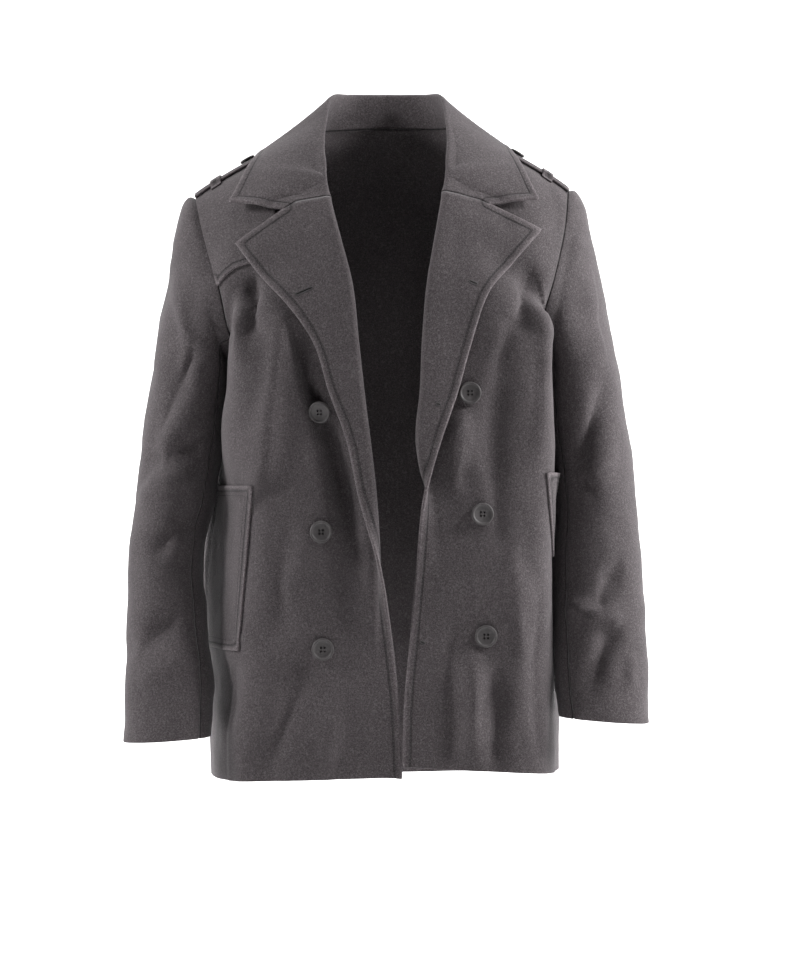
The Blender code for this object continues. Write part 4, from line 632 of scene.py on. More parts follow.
# ---- sleeves and collar ----
def sleeve_tube(side, front_edge, back_edge):
    """Rings of points from the armhole to the cuff, underarm first, front way round."""
    loop = np.vstack([front_edge, back_edge[-2::-1]])
    angles = [math.pi * (1 - run_lengths(edge) / step_lengths(edge).sum())
              for edge in (front_edge, back_edge)]
    theta = np.concatenate([angles[0], -angles[1][-2::-1]])[:, None]
    underarm, shoulder = front_edge[0], front_edge[-1]
    offset = loop - (underarm + shoulder) / 2
    rise = (shoulder - underarm) / 2
    depth_0 = np.abs(offset[:, 1]).max()
    loop_up = (offset @ rise / (rise @ rise))[:, None]
    loop_deep = -offset[:, 1:2] / depth_0
    rings = [loop]
    for number, row in enumerate(SLEEVE_TABLE[side], start=1):
        outer_out, outer_z, inner_out, inner_z, depth, half_depth = row
        outer = np.array((SIDE[side] * outer_out, depth, outer_z))
        inner = np.array((SIDE[side] * inner_out, depth, inner_z))
        kept = 1 - smoothstep(0, ARMHOLE_SHAPE_ROWS, number)
        up = np.cos(theta) + (loop_up - np.cos(theta)) * kept
        deep = np.sin(theta) + (loop_deep - np.sin(theta)) * kept
        rings.append((outer + inner) / 2 + up * (outer - inner) / 2
                     + deep * np.array((0, -half_depth, 0)))
    stack = np.array(rings)
    steps = np.linspace(0, 1, SLEEVE_ROWS + 1) * (len(stack) - 1)
    return through(stack.reshape(len(stack), -1), steps).reshape(len(steps), -1, 3)


def collar_half(side, seam, kinds, crest):
    """Collar rows over one half of the neck seam, notch to centre back."""
    table = COLLAR_TABLE[side]
    names = list(table)
    keys = [kinds[name] for name in names]
    numbers = np.arange(len(seam))
    at = np.interp(numbers, keys, np.arange(len(names)))
    edge = through(side_points([table[name][1] for name in names], side), at)
    laid = kinds["roll"] - ROLL_COLUMNS
    first = names.index("throat")
    folds = np.vstack([crest, side_points([table[name][0] for name in names[first:]], side)])
    fold_at = np.interp(numbers, [laid] + keys[first:], np.arange(len(folds)))
    fold = through(folds, fold_at)
    rows = []
    for k, base in enumerate(seam):
        if k <= laid:
            line = corner(base, (base + edge[k]) / 2, edge[k], 1.0, CURVE_POINTS)
            stand = 0.0
        else:
            up = unit(fold[k] - base)
            down = unit(edge[k] - fold[k])
            stand = np.linalg.norm(fold[k] - base)
            trim = min(FOLD_TRIM, stand * FOLD_STAND_SHARE)
            turn = corner(fold[k] - up * trim, fold[k], fold[k] + down * trim, 1.0, TURN_POINTS)
            line = np.vstack([base, turn, edge[k]])
        even = np.linspace(0, 1, COLLAR_ROWS + 1)
        share = stand / step_lengths(line).sum()
        fitted = spaced(share, STAND_ROWS, COLLAR_ROWS - STAND_ROWS)
        settled = smoothstep(0.0, FULL_STAND, stand)
        rows.append(along(line, even + (fitted - even) * settled))
    return np.array(rows)


def neighbours(values):
    """Mean of the four neighbours of each inner value of a grid."""
    return (values[:-2, 1:-1] + values[2:, 1:-1] + values[1:-1, :-2] + values[1:-1, 2:]) / 4


def keep_clear(grid, trees):
    """Lift the fall of the collar clear of the body, away from the body's heart."""
    heart = Vector(BODY_HEART)
    sides = (-NECK_HALF, NECK_HALF), (COLLAR_CLEAR["right"], COLLAR_CLEAR["left"])
    lifts = np.zeros(grid.shape[:2])
    for spot in np.ndindex(lifts.shape):
        ray = Vector(grid[spot]) - heart
        away = ray.normalized()
        hits = [tree.ray_cast(heart + away * REACH, -away, REACH) for tree in trees]
        heights = [(hit[0] - heart).length for hit in hits if hit[0] is not None]
        if heights and spot[1] >= STAND_ROWS:
            short = max(heights) + np.interp(grid[spot][0], *sides) - ray.length
            lift = COLLAR_SETTLE * math.log1p(math.exp(min(short / COLLAR_SETTLE, STEEPEST)))
            lifts[spot] = max(lift, short)
    for _ in range(LIFT_ROUNDS * DETAIL):
        lifts[:, STAND_ROWS:] = neighbours(np.pad(lifts, 1, mode="edge"))[:, STAND_ROWS:]
    grid += unit(grid - np.array(heart)) * lifts[..., None]


def collar_grid(back, panels, bands):
    """Collar over the whole neck seam, right notch to left notch."""
    notch = NOTCH_COLUMN
    top = back[-1]
    middle = (len(top) - 1) // 2
    neck = {"right": top[FRONT_COLUMNS + 1:middle + 1],
            "left": top[middle:len(top) - 1 - FRONT_COLUMNS][::-1]}
    halves = {}
    for side in SIDE:
        gorge = bands[side][GORGE_ROW, notch::-1]
        neckline = panels[side][GORGE_ROW:, -1]
        seam = np.vstack([gorge, neckline, neck[side]])
        roll = len(gorge)
        shoulder = roll + len(neckline) - 1
        last = len(seam) - 1
        kinds = {"notch": 0, "gorge": roll / 2, "roll": roll,
                 "throat": roll + ROWS_PER_STATION / 2, "front": roll + ROWS_PER_STATION,
                 "side": roll + 2 * ROWS_PER_STATION, "shoulder": shoulder,
                 "nape": (shoulder + last) / 2, "back": last}
        crest = bands[side][GORGE_ROW, 2 * ROLL_COLUMNS // 3 - 1]
        halves[side] = collar_half(side, seam, kinds, crest)
    return np.concatenate([halves["right"], halves["left"][-2::-1]], axis=0)


def soften_collar(grid):
    """Even out the fall of the collar where it was lifted off the body."""
    fall = grid[:, STAND_ROWS:]
    for _ in range(SOFTEN_ROUNDS * DETAIL):
        middle = fall[1:-1, 1:-1]
        fall[1:-1, 1:-1] = middle + (neighbours(fall) - middle) * SOFTEN_SHARE


# ---- grids, normals and seams ----
def grid_normals(grid):
    """Normals of a grid, on the side from which its rows run up and columns right."""
    return unit(np.cross(np.gradient(grid, axis=1), np.gradient(grid, axis=0)))


def tube_normals(tube):
    """Normals of a ringed tube whose first column is also its last, facing out."""
    down = np.gradient(tube, axis=0)
    closed = np.concatenate([tube[:, -2:-1], tube, tube[:, 1:2]], axis=1)
    around = closed[:, 2:] - closed[:, :-2]
    normals = unit(np.cross(around, down))
    middles = tube[:, :-1].mean(axis=1, keepdims=True)
    facing = np.sum(normals * (tube - middles), axis=-1).mean()
    return normals * math.copysign(1.0, facing)


def spot_keys(points):
    """A key for each point, the same wherever pieces share the spot."""
    return [tuple(point) for point in np.round(points.reshape(-1, 3), SPOT_DIGITS).tolist()]


def share_normals(grids, normals):
    """Give points that two pieces share at a seam the same normal."""
    sums = {}
    keys = {name: spot_keys(grid) for name, grid in grids.items()}
    for name in grids:
        for key, normal in zip(keys[name], normals[name].reshape(-1, 3)):
            sums[key] = sums.get(key, 0) + normal
    return {name: unit(np.array([sums[key] for key in keys[name]])).reshape(grids[name].shape)
            for name in grids}


def fold_height(name, points):
    """Height of the main folds of one piece at its points."""
    height = np.zeros(points.shape[:-1])
    for half_width, rise, *ends in FOLDS.get(name, []):
        start, end = np.array(ends) / MILLI
        run = end - start
        t = np.clip(((points - start) @ run) / (run @ run), 0, 1)
        away = np.linalg.norm(points - start - t[..., None] * run, axis=-1)
        height += rise / MILLI * np.exp(-(away / (half_width / MILLI)) ** 2)
    return height


# ---- fine folds and the hand of the cloth ----
FOLD_DEPTH = 0.35  # how much less a fold fades along y than across its path
FOLD_RISE = {"front": 1.5, "sleeve": 1.1, "back": 1.0}  # how strongly each kind folds
SWELL_MEAN = 0.8  # a fold's width swells and shrinks round this share of itself
SWELL_RANGE = 0.35
SWELL_TURN = 9.0  # radians of the swelling along the whole fold
SWELL_START = 40.0  # radians for each metre of height, so that no two swell alike
FADE = 0.6  # how bluntly a fold ends
LEANS = {"left": (1, 0, 0), "right": (-1, 0, 0), "up": (0, 0, 1), "down": (0, 0, -1),
         "right_up": (-1, 0, 0.5), "right_down": (-1, 0, -0.5)}
# Fine folds in millimetres: the way that counts as a path's near side, half width on the
# near and the far side, height (out is plus), points (x, y, z) of the path.
FINE_FOLDS = {"front_right": [
    ("left", 10, 24, 5.8, (-122, -140, -240), (-143, -140, -414), (-160, -130, -476)),
    ("left", 8, 19, -16, (-110, -140, -240), (-92, -140, -320), (-60, -140, -390),
     (-41, -140, -462), (-28, -140, -530), (-14, -140, -650)),
    ("left", 7, 13, -7.1, (-156, -120, -190), (-162, -120, -222), (-158, -120, -262)),
    ("left", 9, 9, 5.1, (-172, -120, -196), (-178, -120, -240), (-176, -120, -300)),
    ("left", 12, 26, -3.8, (-92, -140, -650), (-112, -140, -706), (-146, -140, -796)),
    ("left", 12, 16, 4.4, (-60, -140, -690), (-72, -140, -800)),
    ("left", 14, 22, -3.7, (-118, -140, -480), (-126, -140, -560), (-120, -140, -640)),
    ("up", 7, 12, 4.4, (-198, -60, -655), (-178, -100, -640), (-166, -120, -622)),
    ("left", 12, 26, -7.5, (-192, -140, -640), (-192, -140, -740), (-196, -140, -850)),
], "front_left": [
    ("right", 9, 14, -4.6, (176, -120, -176), (168, -130, -212), (160, -130, -260)),
    ("right", 9, 18, 5.1, (186, -120, -190), (192, -130, -260), (188, -140, -420)),
    ("right", 12, 20, -4.4, (150, -130, -240), (138, -140, -300), (130, -140, -420),
     (134, -140, -520)),
    ("right", 10, 14, 5.1, (94, -140, -350), (86, -140, -410), (78, -140, -460)),
    ("right", 8, 14, -4.4, (74, -140, -600), (72, -140, -680), (76, -140, -780)),
    ("right", 10, 14, 5.1, (102, -140, -640), (105, -140, -700), (102, -140, -780)),
    ("right", 9, 14, -5.4, (131, -140, -660), (133, -140, -720), (130, -140, -790)),
    ("right", 12, 16, 4.4, (150, -140, -520), (156, -140, -580), (164, -140, -660)),
    ("right", 10, 12, -4.1, (186, -130, -560), (180, -130, -660), (184, -130, -780)),
], "sleeve_right": [
    ("right_up", 8, 18, -6.8, (-232, -80, -270), (-250, -80, -310), (-278, -70, -370)),
    ("down", 7, 16, -7.8, (-212, -70, -384), (-244, -80, -400), (-292, -70, -412)),
    ("up", 6, 13, 6.6, (-212, -80, -412), (-250, -90, -434), (-296, -80, -438)),
    ("right", 10, 18, -5.8, (-228, -90, -470), (-262, -100, -500), (-290, -90, -540)),
    ("right", 10, 18, -6.1, (-252, -110, -580), (-268, -110, -610), (-300, -100, -650)),
    ("up", 7, 12, 4.1, (-236, -110, -640), (-262, -120, -664), (-300, -110, -676)),
    ("right", 10, 16, 4.8, (-262, -60, -180), (-252, -70, -230), (-236, -80, -290)),
    ("down", 8, 16, -7.8, (-300, 60, -380), (-262, 70, -420), (-226, 60, -440)),
    ("up", 8, 14, 5.8, (-300, 60, -430), (-262, 60, -466), (-236, 40, -480)),
    ("right", 12, 18, -5.8, (-290, 20, -540), (-262, 10, -590)),
], "sleeve_left": [
    ("right_down", 8, 18, -7.8, (276, -70, -320), (250, -80, -370), (222, -80, -428)),
    ("right_down", 10, 14, 5.1, (290, -80, -380), (262, -90, -420), (236, -90, -462)),
    ("up", 6, 12, -6.8, (216, -80, -424), (236, -90, -440), (262, -90, -446)),
    ("right", 9, 18, -6.8, (286, -100, -530), (272, -100, -560), (252, -110, -590)),
    ("up", 6, 14, 6.6, (224, -100, -588), (252, -110, -602), (286, -100, -606)),
    ("left", 10, 20, -7.1, (286, -110, -618), (262, -120, -650), (244, -120, -700)),
    ("right", 10, 14, 4.1, (300, -110, -650), (292, -120, -690)),
    ("left", 10, 18, 4.4, (252, -70, -170), (262, -80, -240), (272, -80, -300)),
    ("down", 8, 16, -7.8, (300, 60, -370), (262, 70, -410), (222, 60, -430)),
    ("up", 8, 14, 5.8, (300, 50, -430), (262, 60, -456), (232, 40, -470)),
], "back": [
    ("left", 14, 26, 6.6, (-50, 120, -520), (-68, 130, -640), (-90, 140, -810)),
    ("right", 14, 26, 6.6, (56, 120, -500), (70, 130, -640), (86, 140, -810)),
    ("left", 16, 20, -6.1, (-20, 120, -600), (-26, 130, -700), (-30, 140, -810)),
    ("left", 16, 20, -5.8, (24, 120, -620), (30, 130, -720), (28, 140, -812)),
    ("down", 10, 20, -7.5, (-176, 80, -270), (-140, 100, -350), (-80, 110, -420)),
    ("down", 10, 20, -7.5, (176, 80, -260), (142, 100, -340), (86, 110, -410)),
    ("up", 12, 20, 4.4, (-150, 100, -180), (-100, 110, -150), (-40, 110, -140)),
    ("up", 12, 20, 4.4, (150, 100, -180), (100, 110, -150), (40, 110, -140)),
    ("left", 12, 20, -5.1, (-150, 110, -560), (-146, 120, -680), (-152, 130, -800)),
    ("left", 12, 20, -5.1, (150, 110, -560), (146, 120, -680), (152, 130, -800)),
]}
# Hand of the cloth: size of the dents, height, how they stretch along x, y and z.
HAND = {
    "front": [(0.070, 0.0034, (1.0, 1.0, 0.45)), (0.024, 0.0010, (1.0, 1.0, 0.70))],
    "back": [(0.080, 0.0034, (1.0, 1.0, 0.45)), (0.026, 0.0010, (1.0, 1.0, 0.70))],
    "sleeve": [(0.055, 0.0034, (0.8, 0.8, 1.0)), (0.022, 0.0011, (0.8, 0.8, 1.1))],
}


def grain(points, size, stretch):
    """Smooth random value from -1 to 1 at each point, in lumps of a size."""
    places = points.reshape(-1, 3) * np.array(stretch) / size
    values = [noise.noise(Vector(place)) for place in places]
    return np.array(values).reshape(points.shape[:-1])


def crease(points, path, near, far, height, lean):
    """Height of one soft fold along a path, uneven and fading at both ends."""
    squeeze = np.array((1.0, FOLD_DEPTH, 1.0))
    points, path = points * squeeze, path * squeeze
    count = len(path) - 1
    best = np.full(points.shape[:-1], np.inf)
    side, place = np.zeros_like(best), np.zeros_like(best)
    for k in range(count):
        run = path[k + 1] - path[k]
        t = np.clip(((points - path[k]) @ run) / (run @ run), 0, 1)
        offset = points - path[k] - t[..., None] * run
        away = np.linalg.norm(offset, axis=-1)
        nearer = away < best
        best = np.where(nearer, away, best)
        side = np.where(nearer, offset @ np.array(lean), side)
        place = np.where(nearer, (k + t) / count, place)
    swell = SWELL_MEAN + SWELL_RANGE * np.sin(SWELL_TURN * place + SWELL_START * path[0, 2])
    width = np.where(side > 0, near, far) * swell
    fade = np.clip(4 * place * (1 - place), 0, 1) ** FADE
    return height * fade * np.exp(-(best / width) ** 2)


def relief(name, points):
    """Height of everything worn into one panel: main folds, fine folds, hand."""
    height = fold_height(name, points)
    kind = name.split("_")[0]
    for lean, near, far, rise, *path in FINE_FOLDS.get(name, []):
        height += crease(points, np.array(path) / MILLI, near / MILLI, far / MILLI,
                         rise / MILLI * FOLD_RISE[kind], LEANS[lean])
    for size, rise, stretch in HAND[kind]:
        height += rise * grain(points, size, stretch)
    return height


# ---- finished surfaces ----
def calm(shape):
    """One inside a panel, falling to zero over a table's step at its sides and top."""
    rows, columns = np.indices(shape)
    value = smoothstep(0, DETAIL, columns) * smoothstep(0, DETAIL, shape[1] - 1 - columns)
    return value * smoothstep(DETAIL, 2 * DETAIL, shape[0] - 1 - rows)


def folded(name, grid, flip):
    """Panel with its folds raised and sunk along its own normals."""
    rise = relief(name, grid) * calm(grid.shape[:2])
    return grid + grid_normals(grid) * flip * rise[..., None]


# ---- sewn pieces ----
def grid_piece(grid, normals, edges):
    """Piece of cloth made of one grid; edges are (edge, row or column beside it)."""
    numbers = numbered(grid.shape)
    return {"points": grid.reshape(-1, 3).copy(), "normals": normals.reshape(-1, 3),
            "faces": grid_faces(numbers), "stitched": [],
            "edges": [(numbers[edge], numbers[beside]) for edge, beside in edges]}


def front_piece(panel, band, panel_normals, band_normals):
    """Front and its lapel as one piece of cloth."""
    numbers = numbered(panel.shape)
    beyond = numbered(band.shape, numbers.size)
    low = np.concatenate([numbers[:GORGE_ROW + 1, -1:], beyond], axis=1)
    gorge = np.s_[NOTCH_COLUMN + 1:0:-1]
    neck, beside_neck = (np.concatenate([low[-k, gorge], numbers[GORGE_ROW:, -k]])
                         for k in (1, 2))
    return {"points": np.vstack([panel.reshape(-1, 3), band.reshape(-1, 3)]),
            "normals": np.vstack([panel_normals.reshape(-1, 3), band_normals.reshape(-1, 3)]),
            "faces": np.vstack([grid_faces(numbers), grid_faces(low)]),
            "edges": [(numbers[:, 0], numbers[:, 1]), (numbers[-1], numbers[-2]),
                      (neck, beside_neck)],
            "stitched": [beyond[:, -1], beyond[-1, NOTCH_COLUMN:]],
            "hem": low[0],
            "turned_back": beyond.ravel()}


def sleeve_pieces(side, tube, normals):
    """Upper and under sleeve, parted along two seams."""
    last = tube.shape[1] - 1
    span = UNDER_SLEEVE_SPAN
    columns = {"upper_sleeve_": list(range(span, last - span + 1)),
               "under_sleeve_": list(range(last - span, last + 1)) + list(range(1, span + 1))}
    return {name + side: grid_piece(tube[:, kept], normals[:, kept],
                                    (FIRST_COLUMN, LAST_COLUMN, FIRST_ROW))
            for name, kept in columns.items()}


def part_seams(pieces):
    """Draw the pieces that meet at a seam apart and sink them into it a little."""
    inward = {}
    for name, piece in pieces.items():
        points = piece["points"]
        inward[name] = np.zeros_like(points)
        for edge, beside in piece["edges"]:
            run = np.gradient(points[edge], axis=0)
            into = unit(np.cross(piece["normals"][edge], run))
            toward = np.sum(into * (points[beside] - points[edge]))
            np.add.at(inward[name], edge, into * math.copysign(1.0, toward))
        inward[name] = unit(inward[name])
    met = {}
    keys = {name: spot_keys(piece["points"]) for name, piece in pieces.items()}
    for name in pieces:
        for key, into in zip(keys[name], inward[name]):
            met.setdefault(key, []).append(into)
    for name, piece in pieces.items():
        points = piece["points"]
        piece["held"] = np.array([len(met[key]) > 1 for key in keys[name]])
        for number in np.flatnonzero(piece["held"]):
            own, others = inward[name][number], met[keys[name][number]]
            away = own - (sum(others) - own) / (len(others) - 1)
            points[number] += unit(away) * SEAM_GAP * SEAM_SHARE
        piece["seam"] = distance_to(points, [points[edge] for edge, _ in piece["edges"]])
        piece["edge"] = distance_to(points, [points[edge] for edge in piece["stitched"]])
        if "turned_back" in piece:
            flat = np.setdiff1d(np.arange(len(points)), piece["turned_back"])
            piece["edge"][flat] = FAR
        sunk = SEAM_SINK * np.exp(-(piece["seam"] / SEAM_SINK_WIDTH) ** 2)
        points -= unit(piece["normals"]) * sunk[:, None]


@functools.cache
def surfaces():
    """Every finished surface of the coat and its normals, seams drawn together."""
    panels = {side: folded("front_" + side, front_panel(side), OUTWARD[side]) for side in SIDE}
    back = folded("back", back_panel(), OUTWARD["back"])
    bands = {side: lapel_band(side, panels[side]) for side in SIDE}
    armhole_back = {"right": back[UNDERARM_ROW:, 0], "left": back[UNDERARM_ROW:, -1]}
    tubes = {}
    for side in SIDE:
        tube = sleeve_tube(side, panels[side][UNDERARM_ROW:, 0], armhole_back[side])
        held = smoothstep(0, DETAIL, np.arange(len(tube)))[:, None]
        rise = relief("sleeve_" + side, tube) * held
        rise[:, -1] = rise[:, 0]
        tubes[side] = tube + tube_normals(tube) * rise[..., None]
    collar = collar_grid(back, panels, bands)
    trees = [surface_tree(panels["right"]), surface_tree(panels["left"][:, ::-1]),
             surface_tree(back[:, ::-1])]
    keep_clear(collar, trees)
    soften_collar(collar)

    grids = {"back": back, "collar": collar}
    normals = {"back": grid_normals(back) * OUTWARD["back"], "collar": grid_normals(collar)}
    for side in SIDE:
        low = np.concatenate([panels[side][:GORGE_ROW + 1], bands[side]], axis=1)
        low_normals = grid_normals(low) * OUTWARD[side]
        panel_normals = grid_normals(panels[side]) * OUTWARD[side]
        panel_normals[:GORGE_ROW + 1, -1] = low_normals[:, FRONT_COLUMNS]
        grids.update({"front_" + side: panels[side], "lapel_" + side: bands[side],
                      "sleeve_" + side: tubes[side]})
        normals.update({"front_" + side: panel_normals,
                        "lapel_" + side: low_normals[:, FRONT_COLUMNS + 1:],
                        "sleeve_" + side: tube_normals(tubes[side])})
    return grids, share_normals(grids, normals)


@functools.cache
def sewn_pieces():
    """The sewn pieces, drawn apart at their seams."""
    grids, normals = surfaces()
    pieces = {"back": grid_piece(grids["back"], normals["back"],
                                 (FIRST_COLUMN, LAST_COLUMN, LAST_ROW)),
              "collar": grid_piece(grids["collar"], normals["collar"], (FIRST_COLUMN,))}
    numbers = numbered(grids["collar"].shape)
    pieces["collar"]["stitched"] = [numbers[0], numbers[:, -1], numbers[-1]]
    for side in SIDE:
        parts = ["front_" + side, "lapel_" + side]
        pieces[parts[0]] = front_piece(*(grids[part] for part in parts),
                                       *(normals[part] for part in parts))
        pieces.update(sleeve_pieces(side, grids["sleeve_" + side], normals["sleeve_" + side]))
    part_seams(pieces)
    return pieces


# ---- shells of cloth ----
def boundary(faces):
    """Directed edges that only one face uses."""
    used = {pair for face in faces for pair in zip(face, face[1:] + face[:1])}
    return [(a, b) for a, b in used if (b, a) not in used]


def distance_to(points, chains):
    """Distance of each point to chains of points, up to a reach."""
    away = np.full(len(points), FAR)
    for chain in chains:
        count = max(int(step_lengths(chain).sum() / CHAIN_STEP), 2)
        tree = point_tree(along(chain, np.linspace(0, 1, count)))
        away = np.minimum(away, [tree.find(place)[2] for place in points])
    return away


def new_mesh(name, points, faces):
    """Smooth mesh of points and faces."""
    mesh = bpy.data.meshes.new(name)
    mesh.from_pydata(points, [], faces)
    mesh.shade_smooth()
    return mesh


def mesh_from(name, bm):
    """Mesh of an edited one, which is let go."""
    mesh = bpy.data.meshes.new(name)
    bm.to_mesh(mesh)
    bm.free()
    return mesh


def placed(name, data, material=None):
    """Object of a mesh, light or camera, linked to the scene."""
    if material:
        data.materials.append(material)
    thing = bpy.data.objects.new(name, data)
    bpy.context.collection.objects.link(thing)
    return thing


def shell(name, piece, thickness, rolled, material):
    """Closed wall of cloth on a sheet of points, its free edges rounded and fuller."""
    points, normals = piece["points"], unit(piece["normals"])
    faces = [tuple(int(v) for v in face) for face in piece["faces"]]
    a, b, c = (np.array([face[k] for face in faces]) for k in range(3))
    facing = np.cross(points[b] - points[a], points[c] - points[a])
    if np.sum(facing * normals[a]) < 0:
        faces = [face[::-1] for face in faces]
    count = len(points)
    held = piece.get("held", np.zeros(count, bool))
    fuller = (rolled - thickness) * (1 - smoothstep(0.0, FULL_EDGE, piece["edge"]))
    half = (thickness + fuller)[:, None] / 2
    rim = boundary(faces)
    out = np.zeros((count, 3))
    for a, b in rim:
        way = unit(np.cross(points[b] - points[a], normals[a] + normals[b]))
        out[a] += way
        out[b] += way
    out = unit(out)
    ring = sorted({v for pair in rim for v in pair})
    place = {v: k for k, v in enumerate(ring)}
    layers = [points + normals * half, points - normals * half]
    free = np.where(held[ring], 0.0, 1.0)[:, None]
    for turn in RIM_TURNS:
        layers.append(points[ring] + free * out[ring] * half[ring] * math.cos(turn)
                      + normals[ring] * half[ring] * math.sin(turn))
    solid = faces + [tuple(v + count for v in face[::-1]) for face in faces]
    starts = [2 * count + k * len(ring) for k in range(len(RIM_TURNS))]
    for pair in rim:
        one, two = ([v, *(start + place[v] for start in starts), v + count] for v in pair)
        for k in range(len(starts) + 1):
            solid.append((two[k], one[k], one[k + 1], two[k + 1]))
    mesh = new_mesh(name, np.vstack(layers).tolist(), solid)
    for title in ("edge", "seam"):
        values = piece[title]
        whole = np.concatenate([values, values] + [values[ring]] * len(RIM_TURNS))
        layer = mesh.attributes.new(title, "FLOAT", "POINT")
        layer.data.foreach_set("value", whole.astype(np.float32))
    mesh.validate()
    piece["half"] = half
    piece["faces"] = faces
    return placed(name, mesh, material)


# ---- lines of stitching ----
def level_lines(piece, values, height, face_side):
    """Lines of equal value over a sheet: chains of (point, normal) on one face of it."""
    normals = face_side * piece["normals"]
    points = piece["points"] + normals * piece["half"]
    links, spots = {}, {}
    for face in piece["faces"]:
        levels = [values[v] for v in face]
        if min(levels) >= height or max(levels) < height:
            continue
        for k in range(1, len(face) - 1):
            triangle = (face[0], face[k], face[k + 1])
            crossed = []
            for a, b in zip(triangle, triangle[1:] + triangle[:1]):
                if (values[a] < height) != (values[b] < height):
                    key = low, high = min(a, b), max(a, b)
                    t = (height - values[low]) / (values[high] - values[low])
                    spots[key] = [rows[low] * (1 - t) + rows[high] * t
                                  for rows in (points, normals)]
                    crossed.append(key)
            if len(crossed) == 2:
                for key, onward in (crossed, crossed[::-1]):
                    links.setdefault(key, []).append(onward)
    lines = []
    left = set(links)
    ends = [key for key in sorted(links) if len(links[key]) == 1]
    for start in ends + sorted(links):
        if start not in left:
            continue
        chain, onward = [], [start]
        while onward:
            chain.append(onward[0])
            left.discard(onward[0])
            onward = [key for key in links[chain[-1]] if key in left]
        if len(chain) >= SHORTEST_LINE:
            line, ups = np.array([spots[key] for key in chain]).transpose(1, 0, 2)
            lines.append((line, unit(ups)))
    return lines


def thread(name, runs, radius=THREAD_RADIUS):
    """One object of short stitches; a run is (ends, normal)."""
    turns = np.linspace(0, 2 * math.pi, THREAD_SIDES + 1)[:-1]
    starts, stops = np.array([run[0] for run in runs]).transpose(1, 0, 2)
    up = unit(np.array([run[1] for run in runs]))
    beside = unit(np.cross(up, unit(stops - starts)))
    vertices = []
    for share, size, lift in STITCH_RINGS:
        middle = starts + (stops - starts) * share + up * radius * lift
        for turn in turns:
            vertices.append(middle + radius * size * (beside * math.cos(turn)
                                                      + up * math.sin(turn)))
    sides = range(THREAD_SIDES)
    rings = [[ring * THREAD_SIDES + k for k in sides] for ring in range(len(STITCH_RINGS))]
    faces = [(low[k], low[(k + 1) % THREAD_SIDES], high[(k + 1) % THREAD_SIDES], high[k])
             for low, high in zip(rings, rings[1:]) for k in sides]
    faces += [tuple(rings[0][::-1]), tuple(rings[-1])]
    every = [tuple(v + len(vertices) * k for v in face) for k in range(len(runs))
             for face in faces]
    points = np.array(vertices).transpose(1, 0, 2).reshape(-1, 3)
    thing = placed(name, new_mesh(name, points.tolist(), every), finish("thread"))
    ride_on(thing)


def stitch_runs(lines):
    """Short runs of thread one after another along lines of (points, normals)."""
    runs = []
    for points, normals in lines:
        length = step_lengths(points).sum()
        count = int(length / STITCH_PITCH)
        if count < 2:
            continue
        starts = np.arange(count) / count
        ends = starts + STITCH_SHARE / count
        low, high = along(points, starts), along(points, ends)
        ups = np.column_stack([np.interp((starts + ends) / 2 * length, run_lengths(points),
                                         normals[:, k]) for k in range(3)])
        runs += [((low[k], high[k]), ups[k]) for k in range(count)]
    return runs


# ---- patches cut from a panel's own points ----
def patch_mesh(grid, normals, lowest=-REACH * 2, highest=REACH):
    """Editable copy of the part of a panel's outer face between two heights."""
    near = (grid[..., 2].max(axis=1) > lowest) & (grid[..., 2].min(axis=1) < highest)
    grid, normals = grid[near], normals[near]
    bm = bmesh.new()
    carried = bm.verts.layers.float_vector.new("normal")
    strip = bm.faces.layers.int.new("strip")
    outer = (grid + normals * CLOTH / 2).reshape(-1, 3)
    verts = [bm.verts.new(point) for point in outer.tolist()]
    for vert, normal in zip(verts, normals.reshape(-1, 3).tolist()):
        vert[carried] = Vector(normal)
    for number, face in enumerate(grid_faces(numbered(grid.shape)).tolist()):
        made = bm.faces.new([verts[v] for v in face])
        made[strip] = number % (grid.shape[1] - 1)
    return bm


def cut(bm, faces, point, normal, keep_all=False):
    """Cut faces by a plane and drop what lies on its normal's side."""
    near = {part for face in faces for part in (face, *face.edges, *face.verts)}
    # listed in the mesh's own order, so that every run cuts alike
    geometry = [part for group in (bm.verts, bm.edges, bm.faces) for part in group if part in near]
    bmesh.ops.bisect_plane(bm, geom=geometry, dist=CUT_TOLERANCE, plane_co=point,
                           plane_no=normal, clear_outer=not keep_all)


def trim(bm, *planes):
    """Drop what lies beyond planes of (point, outward normal)."""
    for point, normal in planes:
        cut(bm, list(bm.faces), point, normal)


def score(bm, depths):
    """Add edges across a patch at the depths y where it bends."""
    for depth in depths:
        cut(bm, list(bm.faces), (0, depth, 0), (0, 1, 0), keep_all=True)


def patch_piece(bm, low, thickness, stitched=lambda point: True):
    """Sheet of a cut patch, raised clear of the panel under it."""
    carried = bm.verts.layers.float_vector["normal"]
    bmesh.ops.remove_doubles(bm, verts=bm.verts, dist=WELD)
    bmesh.ops.dissolve_degenerate(bm, edges=bm.edges, dist=WELD)
    bm.verts.index_update()
    points = np.array([vert.co[:] for vert in bm.verts])
    normals = unit(np.array([vert[carried][:] for vert in bm.verts]))
    faces = [tuple(vert.index for vert in face.verts) for face in bm.faces]
    bm.free()
    lift = np.array([low(point) for point in points])[:, None]
    points = points + normals * (lift + thickness / 2)
    rim = [points[[a, b]] for a, b in boundary(faces) if stitched((points[a] + points[b]) / 2)]
    return {"points": points, "normals": normals, "faces": faces,
            "edge": distance_to(points, rim), "seam": np.full(len(points), FAR)}


def flap_edge(out):
    """Height z of the flap's lower edge at a distance out."""
    outs, heights = zip(*FLAP_EDGE[::-1])
    return float(np.interp(out, outs, heights))


